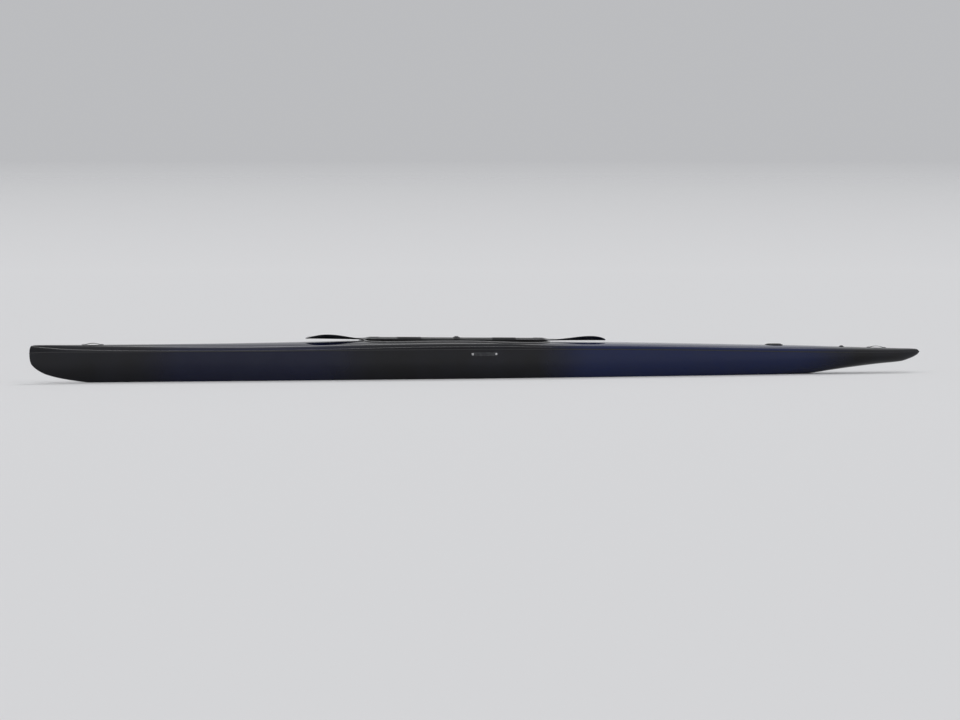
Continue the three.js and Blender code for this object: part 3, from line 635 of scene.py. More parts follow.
def cockpit_half(x):
    """Half the opening's width: its own width there, rounded off at the ends as a superellipse is."""
    return cockpit_width(x) * arch(np.clip(np.abs(x - MIDDLE) / REACH, 0, 1), PLAN_POWER)


def widened(x, by):
    """Half the opening's width, grown by a distance at the front end and in proportion elsewhere."""
    return cockpit_half(x) * (1 + by / FORE_WIDTH)


def rim_height(x):
    """Height of the deck at the opening's edge."""
    return deck_height(x, cockpit_half(x))


# %% Deck shell
HIDDEN_EDGE = 0.005  # how far the deck's edge runs under the rim
DECK_LAMINATE = 0.003
plan = power_of(np.cos(np.linspace(np.pi, 0, 141)), 2 / PLAN_POWER)  # the opening's stations, -1 to 1
deck_stations = np.unique(np.concatenate([STATIONS, MIDDLE + (REACH + HIDDEN_EDGE) * plan]).round(6))


def deck_half(sign):
    """One side of the deck. The angle runs from the opening's edge, arccos((edge / half)^(n/2)), to 0 at
    the seam: y = half * cos^(2/n), z = seam + rise * sin^(2/n)."""
    x = deck_stations[:, None]
    inside = MIDDLE + (x - MIDDLE) * REACH / (REACH + HIDDEN_EDGE)
    edge = np.where(np.abs(inside - MIDDLE) < REACH, widened(inside, HIDDEN_EDGE), 0)
    n = crown(x)
    start = np.arccos(np.clip(edge / half(x), 0, 1) ** (n / 2))
    t = np.linspace(0, 1, 33)[None, ::sign]
    a = start * (1 - t) ** 1.35
    y = sign * half(x) * blunt(x) * np.cos(a) ** (2 / n)
    z = seam(x) + (deck(x) - seam(x)) * tapered(x) * np.sin(a) ** (2 / n)
    return grid_of(x, y, z)


sides = [patch(deck_half(sign), around=False, flip=True) for sign in (1, -1)]
deck_shell = piece("deck_shell", sides, "boat", shell_paint, ["deck"], sharp=50)
thickness = deck_shell.modifiers.new("thickness", "SOLIDIFY")
thickness.thickness = DECK_LAMINATE
thickness.offset = -1

# %% [markdown]
# ## Cockpit moulding
# The seat, the hump under the knees and the footwell are one moulding that hangs from the deck's opening.
# Its sections are superellipses too, from rim to rim, with a low ridge that parts the legs. The plan's
# ends are drawn by angle, so that the steep front and back walls get as many stations as they need.

# %% Cockpit moulding
floor_line = curve(
    np.array([-450, -438, -415, -380, -335, -280, -200, -110, -10, 80,
              150, 230, 330, 420, 480, 790, 812, 832, 850, 860]) / 1000,
    np.array([241, 196, 120, 34, -28, -55, -60, -52, -20, 12,
              24, 14, -20, -46, -50, -50, -36, 40, 160, 261]) / 1000,
)  # fmt: skip
floor_height = softened(floor_line, 0.045, -0.33, 0.76)
ridge_line = curve([-0.12, -0.05, 0.06, 0.19, 0.32, 0.42], [0, 0.003, 0.019, 0.024, 0.014, 0])
ridge_top = softened(ridge_line, 0.045, -0.3, 0.6)
WALL = 0.005
OFF_FLOOR = 0.0004  # the gap under what stands on the moulding


def ridge(x, y):
    """A low bump between the legs: its top at x, times e^-(y / 40 mm)^2."""
    return ridge_top(x) * np.exp(-((y / 0.04) ** 2))


def cockpit_power(x):
    """The power n of the sections: 3 at the seat's back, 4.4 at the footwell's front."""
    return 3 + 1.4 * (x - AFT) / (FORE - AFT)


def cockpit_floor(x, y):
    """Height of the moulding under a point: rim - depth * (1 - |y / half|^n)^(1/n) + ridge."""
    share = np.clip(np.abs(y) / np.maximum(cockpit_half(x), 1e-6), 0, 1)
    depth = rim_height(x) - floor_height(x)
    return rim_height(x) - depth * arch(share, cockpit_power(x)) + ridge(x, y)


def cockpit_section(x, share, grow):
    """One section from rim to rim; share is the part of the half width, and grow widens and deepens it."""
    x, share = x[:, None], share[None]
    y = share * widened(x, grow)
    depth = rim_height(x) - floor_height(x) + grow
    z = rim_height(x) - depth * arch(share, cockpit_power(x)) + ridge(x, y)
    return grid_of(MIDDLE + (x - MIDDLE) * (1 + grow / REACH), y, z)


cockpit_stations = MIDDLE + REACH * plan
fall = 1 - np.linspace(0, 1, 50) ** 2.2
shares = np.concatenate([fall, -fall[-2::-1]])
inside = cockpit_section(cockpit_stations, shares, 0)
outside = cockpit_section(cockpit_stations, shares[::-1], WALL)
tub = patch(np.concatenate([inside, outside], axis=1))
piece("cockpit_moulding", [tub], "boat", cockpit_paint, ["cockpit_tub"], sharp=60)

# %% [markdown]
# ## Rim and seam
# The moulding is bonded to the deck under a rounded lip, and a narrow tape covers the joint between the
# hull and the deck all round the boat. Both are a profile carried along a closed path.


# %% Rim and seam
def evenly(path, count):
    """The same closed path with its points at equal distances."""
    closed = np.concatenate([path, path[:1]])
    return along_path(closed, np.linspace(0, walked(closed)[-1], count, endpoint=False))


RIM_TOP = 0.009 * math.cos(math.pi / 8)  # from the lip's middle to its top
RIM_SINK = 0.002
RIM_OUT = 0.0035
angle = full_turn(4000)
share = power_of(np.cos(angle), 2 / PLAN_POWER)
rim_x = MIDDLE + REACH * share
rim_y = np.sign(np.sin(angle)) * widened(rim_x, RIM_OUT)
rim_path = np.stack([rim_x + RIM_OUT * share, rim_y, rim_height(rim_x) - RIM_SINK], axis=1)
rim_grid = sweep(evenly(rim_path, 480), rounded(0.0178, 2 * RIM_TOP, 2.4, 20), closed=True)
piece("rim_lip", [patch(rim_grid, along=True)], "boat", carbon_tube, ["cockpit_rim"])

angle = full_turn(1100)
seam_x = BOW * np.cos(angle)
seam_path = np.stack([seam_x, np.sign(np.sin(angle)) * half(seam_x) * blunt(seam_x), seam(seam_x)], axis=1)
tape = patch(sweep(seam_path, rounded(0.0014, 0.007, 3, 10), closed=True), along=True)
seam_resin = moulded("seam_resin", (0.01, 0.01, 0.012), 0.55)
piece("seam_tape", [tape], "boat", seam_resin)

# %% [markdown]
# ## Blocks, bars and many of one thing
# The rest of the boat is fittings: mats, tracks, a footboard, pedals, straps, caps, a rudder and a
# paddle. A few more helpers cover them. A rounded block is a plate with a rectangle for its outline.
# Corners are softened by a short curve. A small shape is repeated by adding a table of offsets to its
# points, which numpy does in one step. A stitch is such a shape: a tiny grain laid along a seam.


# %% Blocks and repeats
def soft_corners(outline, radius, steps=5):
    """Rounds each corner p of a polygon by a bent curve between the two points of its sides that lie the
    radius away from it."""
    p = np.asarray(outline, float)
    before, after = (unit(np.roll(p, k, axis=0) - p) for k in (1, -1))
    reach = np.broadcast_to(np.asarray(radius, float).reshape(-1, 1), (len(p), 1))
    t = np.linspace(0, 1, steps)[None, :, None]
    corners = bent((p + before * reach)[:, None], p[:, None], (p + after * reach)[:, None], t)
    return corners.reshape(-1, 2)


def block(low, high, edge, corner=0.002):
    """A box between two corners with softened edges."""
    (x0, y0, z0), (x1, y1, z1) = low, high
    return plate(soft_corners([(x0, y0), (x1, y0), (x1, y1), (x0, y1)], corner, 4), z0, z1, edge)


ALONG_X, ALONG_Y = (2, 0, 1), (0, 2, 1)


def standing(grid, order):
    """Swaps a grid's axes, so that a flat plate stands on its edge, or a spun shape lies along X or Y."""
    return grid[..., list(order)]


def copies(made, offsets):
    """One patch repeated: every copy is the first one's points plus an offset."""
    points, quads, quad_uv, triangles, triangle_uv = made
    offsets = np.asarray(offsets, float)
    count = len(offsets)
    starts = (np.arange(count) * len(points))[:, None, None]
    return (
        (points[None] + offsets[:, None]).reshape(-1, 3),
        (quads[None] + starts).reshape(-1, 4),
        np.tile(quad_uv, (count, 1, 1)),
        (triangles[None] + starts).reshape(-1, 3),
        np.tile(triangle_uv, (count, 1, 1)),
    )


STITCH_GIRTH = 0.0005


def stitches(path, out, length=0.0032, gap=0.0014):
    """Sewn thread: grains laid along a path, each an ellipsoid with the axes tangent, side and out."""
    at = np.arange(length / 2, walked(path)[-1] - length / 2, length + gap)
    centre = along_path(path, at)
    tangent = unit(along_path(path, at + 1e-4) - centre)
    side = unit(np.cross(out, tangent))
    girths = STITCH_GIRTH * side, STITCH_GIRTH * np.cross(tangent, side)
    frames = np.stack([tangent * length / 2, *girths], axis=1)
    turn, swing = np.linspace(0.15, np.pi - 0.15, 5)[:, None], full_turn(6)
    grain = grid_of(np.cos(turn), np.sin(turn) * np.cos(swing), np.sin(turn) * np.sin(swing))
    return [patch(grain @ f + c) for f, c in zip(frames, centre)]


def screw(radius, height=0.0022):
    """A domed head with a round socket, standing on z = 0."""
    dome = [(0, -0.003), (radius, -0.003), (radius, 0), (radius * 0.97, height * 0.35)]
    dome += [(radius * 0.8, height * 0.8), (radius * 0.5, height), (radius * 0.45, height)]
    return turned(dome + [(radius * 0.4, height * 0.4), (0, height * 0.4)], 24)


# %% [markdown]
# ## Seat cushion and heel mat
# Both are closed-cell foam, cut from sheet and glued to the moulding. The seat is split into pillows by
# channels, which let water drain and keep the rider from sliding. Cloth simulation would suit a sewn and
# stuffed cushion, but this foam keeps the shape it was cut to, so its height is a formula: the floor
# below it, a rounded edge, a slight crown on each pillow and the channels between them.


# %% Seat cushion and heel mat
CHANNEL = 0.0035  # half the width of a channel across


def floor_mat(name, start, end, half_width, thick, channels, split, replaced):
    """A mat that follows the floor. A row at x = middle + reach * u is half * (1 - |u|^6)^(1/6) wide. Its
    top stands off the floor by thick * ((1 - |s|^12) * (1 - |u|^16))^(1/4), with s the place across the
    row. Each pillow is crowned by a sine between two channels, and a channel takes half of the height."""
    middle, reach = (start + end) / 2, (end - start) / 2
    u = np.sin(np.linspace(-np.pi / 2, np.pi / 2, 181))[:, None]
    across = np.sin(np.linspace(np.pi / 2, -np.pi / 2, 121))[None]
    x = middle + reach * u
    width = half_width * arch(u, 6)

    def surface(share, lift):
        return grid_of(x, share * width, cockpit_floor(x, share * width) + lift)

    edge = ((1 - np.abs(across) ** 12) * (1 - np.abs(u) ** 16)) ** 0.25
    cut = np.max([np.exp(-(((x - c) / CHANNEL) ** 4)) for c in channels], axis=0)
    cut = np.maximum(cut, np.exp(-((across * width / split) ** 4)))
    cell = np.abs(np.sin((x - channels[0]) / (channels[1] - channels[0]) * np.pi))
    crowned = 0.86 + 0.14 * cell**0.5
    top = surface(across, 0.0006 + thick * edge * crowned * (1 - 0.5 * cut))
    under = surface(across[:, ::-8], OFF_FLOOR)
    made = piece(name, [patch(np.concatenate([top, under], axis=1))], "boat", pad_foam, [replaced])


# start, end, half width, thickness, the channels across and half the width of the one along the middle
floor_mat("seat_cushion", -0.375, -0.07, 0.112, 0.0092, np.arange(-0.335, -0.08, 0.0425), 0.007, "seat_pad")
floor_mat("heel_mat", 0.484, 0.612, 0.046, 0.0052, np.arange(0.496, 0.61, 0.0145), 0.003, "heel_pad")

# %% [markdown]
# ## Tracks
# The footboard slides on two tracks that are screwed to the footwell's floor. A track is an extrusion:
# one profile, the same all along. Its top has a slot with a row of small pegs, one for each setting. Only
# its underside changes from place to place, because it follows the curve of the floor.

# %% Tracks
TRACK_Y, TRACK_TOP = 0.062, -0.030
TRACK_AFT, TRACK_FORE, PEG_STEP = 0.430, 0.770, 0.02
FLOOR = math.nan  # a drop down to the floor, whatever its height
# across the track and down from its top, in metres
TRACK_PROFILE = np.array([
    (-0.0100, FLOOR), (-0.0100, 0.0015), (-0.0096, 0.0005), (-0.0085, 0), (-0.0033, 0), (-0.0030, 0.0003),
    (-0.0030, 0.004), (0.0030, 0.004), (0.0030, 0.0003), (0.0033, 0), (0.0085, 0), (0.0096, 0.0005),
    (0.0100, 0.0015), (0.0100, FLOOR), (0.0, FLOOR),
])  # fmt: skip


def track(side):
    """The profile at 40 stations: z = top - drop, or the floor's own height under that point."""
    x = np.linspace(TRACK_AFT, TRACK_FORE, 40)[:, None]
    y, drop = side * TRACK_Y + TRACK_PROFILE[None, :, 0], TRACK_PROFILE[None, :, 1]
    z = np.where(np.isnan(drop), cockpit_floor(x, y) + OFF_FLOOR, TRACK_TOP - drop)
    body = patch(grid_of(x, y, z))
    peg_rows = [(0, -0.0045), (0.0017, -0.0045), (0.0017, -0.0014), (0.0012, -0.001), (0, -0.001)]
    peg = patch(turned(peg_rows, 12))
    places = np.arange(TRACK_AFT + PEG_STEP, TRACK_FORE - PEG_STEP / 2, PEG_STEP)
    return [body, copies(peg, [(place, side * TRACK_Y, TRACK_TOP) for place in places])]


SIDES = ((1, "port"), (-1, "starboard"))
for side, word in SIDES:
    piece(f"track_{word}", track(side), "boat", anodised, [f"rail_{word}"], sharp=30)

# %% [markdown]
# ## Footboard
# The feet push on a plate that leans forward by 30 degrees. It stands on two sliders that straddle the
# tracks, and three lugs at its top carry the pedals' rod. The plate's shape is drawn in its own upright
# frame and then leaned as one, which keeps every number a plain size.

# %% Footboard
LEAN = 30
BOARD_FOOT = (0.640, 0, -0.022)
BOARD_HEIGHT, BOARD_THICK = 0.124, 0.006
ROD_HEIGHT = 0.134  # up the leaning plate, from its foot to the pedals' rod
ROD_RADIUS = 0.004
up_the_board = np.array([math.sin(math.radians(LEAN)), 0, math.cos(math.radians(LEAN))])
rod = np.array(BOARD_FOOT) + ROD_HEIGHT * up_the_board


def leaned(grid, at=BOARD_FOOT):
    """A patch turned from its own upright frame to the board's lean."""
    return patch(moved(grid, (0, LEAN, 0), at))


def board_plate():
    """The plate's outline, narrow at the heels and wide at the toes, 6 mm thick."""
    half_outline = [(0.088, 0), (0.112, 0.06), (0.112, BOARD_HEIGHT)]
    outline = half_outline + [(-y, z) for y, z in half_outline[::-1]]
    flat = plate(soft_corners(outline, 0.007), 0, BOARD_THICK, 0.0012)
    return leaned(standing(flat, ALONG_X))


def board_lugs():
    """Three ears around the rod: a rounded outline in x and z, 10 mm wide."""
    corners = [(-0.006, 0.112), (0.008, 0.112), (0.008, 0.141), (-0.006, 0.141)]
    outline = soft_corners(corners, [0.001, 0.001, 0.0065, 0.0065], 8)
    ears = [plate(outline, y, y + 0.01, 0.0008) for y in (-0.112, -0.005, 0.102)]
    return [leaned(standing(ear, ALONG_Y)) for ear in ears]


SLIDER_AFT, SLIDER_FORE = 0.576, 0.660


def mirrored(side, low, high):
    """A block given for the port side, or its mirror image to starboard."""
    (x0, y0, z0), (x1, y1, z1) = low, high
    near, far = sorted((side * y0, side * y1))
    return patch(block((x0, near, z0), (x1, far, z1), 0.0009))


def sliders(side):
    """A bridge over the track, its two cheeks, and the shelf and ear that hold the foot strap. Where one
    runs into the next it is a hair smaller, so that no two faces share a plane."""
    boxes = [
        ((SLIDER_AFT, TRACK_Y - 0.015, -0.0294), (SLIDER_FORE, TRACK_Y + 0.015, -0.018)),
        ((SLIDER_AFT + 0.0003, TRACK_Y - 0.0148, -0.036), (SLIDER_FORE - 0.0003, TRACK_Y - 0.0104, -0.0285)),
        ((SLIDER_AFT + 0.0003, TRACK_Y + 0.0104, -0.036), (SLIDER_FORE - 0.0003, TRACK_Y + 0.0148, -0.0285)),
        ((SLIDER_AFT + 0.0004, TRACK_Y + 0.0135, -0.0256), (SLIDER_AFT + 0.0436, 0.0864, -0.0184)),
        ((SLIDER_AFT, 0.081, -0.026), (SLIDER_AFT + 0.044, 0.0881, 0.030)),
    ]
    return [mirrored(side, *box) for box in boxes]


board = [board_plate()] + board_lugs() + sliders(1) + sliders(-1)
piece("footboard_plate", board, "footboard", anodised, ["footboard"], sharp=30)

# %% [markdown]
# The soles meet ribbed rubber, not bare metal. A rib is a raised sine wave, flattened to nothing at the
# mat's edge, on a grid that lies against the plate. A knob on each slider locks it in its track.


# %% Sole grips and locking knobs
def ribbed(low, high, thick, pitch):
    """A mat in the plane of y and z whose ribs run across: it stands off by
    thick * edge * (0.5 + 0.5 * |sin(pi z / pitch)|^0.6), towards the feet."""
    u, v = np.linspace(0, 1, 91)[:, None], np.linspace(0, 1, 41)[None]
    y, z = (a + (b - a) * np.clip(1.02 * (s - 0.5) + 0.5, 0, 1) for a, b, s in zip(low, high, (u, v)))
    edge = ((1 - np.abs(2 * v - 1) ** 24) * (1 - np.abs(2 * u - 1) ** 40)) ** 0.5
    off = thick * edge * (0.5 + 0.5 * np.abs(np.sin(np.pi * (z - low[1]) / pitch)) ** 0.6)
    return np.concatenate([grid_of(-off, y, z), grid_of(0.0005, y, z)[:, ::-1]], axis=1)


rubber = moulded("rubber", (0.018, 0.018, 0.02), 0.68)
grip_spans = [(s * 0.044 - 0.034, s * 0.044 + 0.034) for s in (-1, 1)]
grips = [leaned(ribbed((a, 0.012), (b, 0.098), 0.0022, 0.0082)[:, ::-1]) for a, b in grip_spans]
piece("sole_grips", grips, "footboard", rubber)

knob_radii = (0, 0.0095, 0.0095, 0.0095, 0.0085, 0.004, 0)
knob_heights = (0, 0, 0.002, 0.006, 0.0075, 0.008, 0.008)
knob = patch(turned([(*row, 0.06) for row in zip(knob_radii, knob_heights)], 48, waves=8))
knobs = copies(knob, [(0.630, s * TRACK_Y, -0.0182) for s in (-1, 1)])
piece("locking_knobs", [knobs], "footboard", plastic)

# %% [markdown]
# ## Pedals and their rod
# Each foot's toes rest on a pedal that hinges on the rod. Pushing one swings the rudder and brings the
# other pedal back. A pedal is a rounded plate grown onto a barrel. The barrel is a tube, so it is a closed
# profile spun about the rod. Small nuts keep the rod in its lugs.

# %% Pedals and rod
PEDAL_INNER, PEDAL_OUTER = 0.006, 0.102
PEDAL_HEIGHT = 0.084


def pedal(side):
    """A leaning tread with soft corners, three ribs on its back and a barrel around the rod."""
    inner, outer = sorted((side * PEDAL_INNER, side * PEDAL_OUTER))
    corners = [(inner, 0), (outer, 0), (outer, PEDAL_HEIGHT), (inner, PEDAL_HEIGHT)]
    outline = soft_corners(corners, [0.001, 0.001, 0.014, 0.014], 8)
    made = [leaned(standing(plate(outline, -0.0025, 0.0025, 0.0011), ALONG_X), rod)]
    barrel_rows = [
        (0.0046, inner), (0.0068, inner), (0.007, inner + 0.0004),
        (0.007, outer - 0.0004), (0.0068, outer), (0.0046, outer),
    ]  # fmt: skip
    made.append(patch(standing(turned(barrel_rows, 40), ALONG_Y) + rod, along=True))
    wedge = soft_corners([(0.0, 0.0), (0.0075, 0.0), (0.002, 0.06), (0.0, 0.06)], 0.0006, 3)
    for y in np.linspace(inner + 0.02, outer - 0.02, 3):
        made.append(leaned(standing(plate(wedge, y - 0.0015, y + 0.0015, 0.0005), ALONG_Y), rod))
    return made


for side, word in SIDES:
    body = f"pedal_{word}"
    piece(f"toe_pedal_{word}", pedal(side), body, carbon_flat, [body], sharp=30)
    low, high = sorted((side * 0.016, side * 0.092))
    grip = ribbed((low, 0.014), (high, 0.076), 0.0018, 0.0068) - np.array([0.0025, 0, 0])
    piece(f"toe_grip_{word}", [leaned(grip[:, ::-1], rod)], body, rubber)

ROD_END = 0.111
rod_half = [
    (ROD_RADIUS, ROD_END + 0.0011), (0.0062, ROD_END + 0.0011), (0.0062, ROD_END + 0.002),
    (0.0045, ROD_END + 0.0035), (0, ROD_END + 0.0035),
]  # fmt: skip
rod_rows = [(r, -y) for r, y in rod_half[::-1]] + rod_half
rod_grid = standing(turned(rod_rows, 36), ALONG_Y) + rod
piece("pedal_axle", [patch(rod_grid)], "footboard", stainless, ["pedal_rod"], sharp=30)

# %% [markdown]
# ## Foot strap
# A strap over both insteps lets the paddler pull with the feet. It is a flat webbing profile carried
# along an arch, with a padded sleeve where it crosses the feet, rows of stitching, and a screw through
# each ear.

# %% Foot strap
STRAP_X, STRAP_HALF, STRAP_RISE, STRAP_FOOT, STRAP_WIDTH = 0.589, 0.090, 0.088, 0.030, 0.0456


def strap_arch(a, lift=0.0):
    """y = half * cos(a), z = foot + rise * sin(a)^0.8, grown outwards by the lift."""
    y = (STRAP_HALF + lift) * np.cos(a)
    z = STRAP_FOOT + (STRAP_RISE + lift) * np.sin(a) ** 0.8
    return np.stack([np.full_like(a, STRAP_X), y, z], axis=1)


bend = np.pi * (0.5 - 0.5 * np.cos(np.linspace(0, np.pi, 81)))
foot = np.array([(STRAP_X, STRAP_HALF, z) for z in np.linspace(0.0005, STRAP_FOOT - 0.003, 7)])
strap_path = np.concatenate([foot, strap_arch(bend), foot[::-1] * (1, -1, 1)])
strap_band = sweep(strap_path, rounded(0.0034, STRAP_WIDTH, 9, 28), up=(1, 0, 0))
sleeve_bend = np.linspace(0.28 * np.pi, 0.72 * np.pi, 45)
swell = (1 - np.linspace(-1, 1, 45) ** 12) ** 0.5
grown = np.stack([0.35 + 0.65 * swell, 1 + 0.06 * swell], axis=1)[:, None]
sleeve = sweep(strap_arch(sleeve_bend), rounded(0.0052, STRAP_WIDTH, 5, 28) * grown, up=(1, 0, 0))
thread = moulded("thread", (0.16, 0.17, 0.19), 0.7)
piece("foot_webbing", [patch(strap_band)], "footboard", strap_web, ["foot_strap"], sharp=60)
foot_sleeve = piece("foot_sleeve", [patch(sleeve)], "footboard", pad_foam, sharp=60)
sewn = []
for x in (STRAP_X - 0.019, STRAP_X + 0.019):
    line = strap_arch(np.linspace(0.3 * np.pi, 0.7 * np.pi, 40), 0.0027)
    line[:, 0] = x
    sewn += stitches(line, (0, 0, 1))
piece("sleeve_stitching", sewn, "footboard", thread)
ear_screws = [patch(moved(screw(0.006), (-90 * s, 0, 0), (STRAP_X, s * 0.0919, 0.012))) for s in (1, -1)]
piece("strap_screws", ear_screws, "footboard", stainless)

# %% [markdown]
# ## Bailer
# Water that comes over the rim runs down to the footwell's floor and is drawn out by a bailer: a flanged
# tube through the floor, with a scoop under the hull that makes suction as the boat moves. A rubber bung
# closes it. Round parts are spun profiles, and the scoop is a loft of half ellipses that deepen towards
# its mouth.

# %% Bailer
BAILER_X, FLANGE_TOP = 0.440, -0.042
SCREW_RING = 0.019  # from the bung's axis out to the three screws
flange_rows = [
    (0.0270, -0.0540), (0.0270, -0.0445), (0.0258, -0.0428), (0.0225, FLANGE_TOP), (0.0140, -0.0424),
    (0.0105, -0.0440), (0.0090, -0.0465), (0.0090, -0.1105), (0.0150, -0.1105), (0.0150, -0.0540),
]  # fmt: skip


def scoop():
    """Half ellipses from the nose at t = 0 to the mouth at t = 1: half width 16 mm * t^0.3 and depth
    18 mm * (3 t^2 - 2 t^3), hung from 3 mm inside the hull."""
    t = (1 - np.cos(np.linspace(0, np.pi / 2, 24)))[:, None]
    a = np.linspace(0, np.pi, 25)[None]
    x = BAILER_X + 0.031 - 0.062 * t
    y = 0.016 * np.maximum(t, 1e-4) ** 0.3 * power_of(np.cos(a), 0.6)
    z = keel(x) + 0.003 - (0.018 * (3 * t**2 - 2 * t**3) + 0.0005) * np.sin(a) ** 0.6
    return grid_of(x, y, z)


mouth = block((BAILER_X - 0.0316, -0.010, -0.1235), (BAILER_X - 0.029, 0.010, -0.1155), 0.0003, 0.001)
flange = patch(turned(flange_rows, 56) + (BAILER_X, 0, 0), along=True)
piece("bailer_flange", [flange, patch(scoop()), patch(mouth)], "boat", plastic, ["bailer"])
around_bung = [(SCREW_RING * math.cos(a), SCREW_RING * math.sin(a), 0) for a in (0.5, 2.6, 4.7)]
flange_screw = screw(0.0032, 0.0014) + (BAILER_X, 0, FLANGE_TOP - 0.0006)
flange_screws = copies(patch(flange_screw), around_bung)
piece("bailer_screws", [flange_screws], "boat", stainless)
bung_rows = [
    (0, -0.056), (0.0078, -0.056), (0.0086, -0.0475), (0.0086, -0.0455), (0.0098, -0.0445),
    (0.0098, -0.0425), (0.009, -0.0415), (0.003, -0.0412), (0.0028, -0.0385), (0.0018, -0.0375),
    (0, -0.0375),
]  # fmt: skip
piece("bailer_bung", [patch(turned(bung_rows, 40) + (BAILER_X, 0, 0))], "boat", rubber)

# %% [markdown]
# ## Carry handles
# Four webbing handles are screwed to the boat: one at each end of the deck and one on each side. A handle
# follows the surface that it is fixed to, so each point of it is the surface's point plus a height. The
# height is nothing at the two feet and an arch between them.

# %% Carry handles
HANDLE_FOOT, HANDLE_THICK = 0.022, 0.0028


def handle_arch(s, half_length, rise):
    """Height over the surface at a distance s from the middle: rise * cos(pi/2 * s / span)^0.8."""
    span = half_length - HANDLE_FOOT
    return rise * np.maximum(np.cos(np.clip(s / span, -1, 1) * np.pi / 2), 0) ** 0.8


def handle_grid(half_length, width, rise, surface):
    """A band around its own middle line: position s along it, and a flat rounded profile across it."""
    s = half_length * np.sin(np.linspace(-np.pi / 2, np.pi / 2, 89))[:, None]
    profile = rounded(width, HANDLE_THICK, 9, 28)
    across = profile[None, :, 0] * (0.45 + 0.55 * rounded_off(np.abs(s), half_length - 0.008, 0.0081))
    height = profile[None, :, 1] + HANDLE_THICK / 2 + 0.0005 + handle_arch(s, half_length, rise)
    return surface(s, across, height)


def on_deck(middle):
    """Points at s along and across the deck, at a height over it."""

    def surface(s, across, height):
        return grid_of(middle + s, across, deck_height(middle + s, across) + height)

    return surface


def on_side(side, middle, level):
    """The same on the hull's flank, around a level."""

    def surface(s, across, height):
        x, z = middle + s, level + across
        low = np.clip((seam(x) - z) / (seam(x) - keel(x)), 0, 1)
        return grid_of(x, side * (half(x) * arch(low, vee(x)) + height), z)

    return surface


WASHER = [(0, -0.003), (0.0075, -0.003), (0.0075, 0.0006), (0.007, 0.001), (0.005, 0.001), (0, 0.001)]
# name, half length, width, rise, the surface that it follows and the tilt of its screws in degrees
HANDLES = [
    ("bow_handle", 0.075, 0.022, 0.009, on_deck(2.760), 0),
    ("stern_handle", 0.070, 0.022, 0.009, on_deck(-2.880), 0),
    ("side_handle_port", 0.095, 0.026, 0.0115, on_side(1, 0.060, 0.168), -90),
    ("side_handle_starboard", 0.095, 0.026, 0.0115, on_side(-1, 0.060, 0.168), 90),
]
for name, half_length, width, rise, surface, tilt in HANDLES:
    band = patch(handle_grid(half_length, width, rise, surface))
    piece(f"{name}_webbing", [band], "boat", strap_web, [name], sharp=60)
    heads, threads = [], []
    for end in (-1, 1):
        spot = surface(np.full((1, 1), end * (half_length - 0.0115)), 0, HANDLE_THICK)[0, 0]
        head = screw(0.0048, 0.0026) + (0, 0, 0.0008)
        heads += [patch(moved(grid, (tilt, 0, 0), spot)) for grid in (turned(WASHER, 32), head)]
        across = np.linspace(-0.38, 0.38, 9)[:, None] * width
        row = surface(np.full((9, 1), end * (half_length - 0.0215)), across, 0.0034)[:, 0]
        threads += stitches(row, moved(np.array([0, 0, 1]), (tilt, 0, 0)), 0.0026, 0.0011)
    piece(f"{name}_screws", heads, "boat", stainless)
    piece(f"{name}_stitching", threads, "boat", thread)

# %% [markdown]
# ## Steering lines
# Each pedal pulls a thin line that runs along the footwell's wall, through a fairlead and on to the
# rudder, out of sight inside the hull. The line is taut, and its front end slides with the footboard, so
# it is set on neither body. A jam cleat on the outer lug holds it, and a short loop ties it to
# the pedal.

# %% Steering lines
LINE_RADIUS = 0.0013
CLEAT = np.array([rod[0] - 0.012, 0.1185, rod[2] - 0.012])
FAIRLEAD_X, FAIRLEAD_Z = 0.360, 0.105


def wall_at(x, z):
    """Half the cockpit's width at a height: half * (1 - (fall / depth)^n)^(1/n)."""
    share = np.clip((rim_height(x) - z) / (rim_height(x) - floor_height(x)), 0, 1)
    return cockpit_half(x) * arch(share, cockpit_power(x))


fairlead = np.array([FAIRLEAD_X, float(wall_at(np.array(FAIRLEAD_X), FAIRLEAD_Z)) - 0.0065, FAIRLEAD_Z])
pedal_eye = rod + moved(np.array([0.0, PEDAL_OUTER - 0.006, 0.058]), (0, LEAN, 0))
TIE_BEND = CLEAT + (0.004, 0.004, 0.030)
# rings of metal and plastic that the line runs through, as (radius, height) rows
GROMMET = [
    (0.0016, -0.0036), (0.0034, -0.0036), (0.0038, -0.0030),
    (0.0038, 0.0030), (0.0034, 0.0036), (0.0016, 0.0036),
]  # fmt: skip
EYE = [
    (0.0016, -0.0060), (0.0034, -0.0060), (0.0046, -0.0040),
    (0.0046, 0.0040), (0.0034, 0.0060), (0.0016, 0.0060),
]  # fmt: skip


def line_tube(path):
    """A round line along a path."""
    return patch(sweep(path, rounded(2 * LINE_RADIUS, 2 * LINE_RADIUS, 2, 10), up=(0.1, 1, 0)))


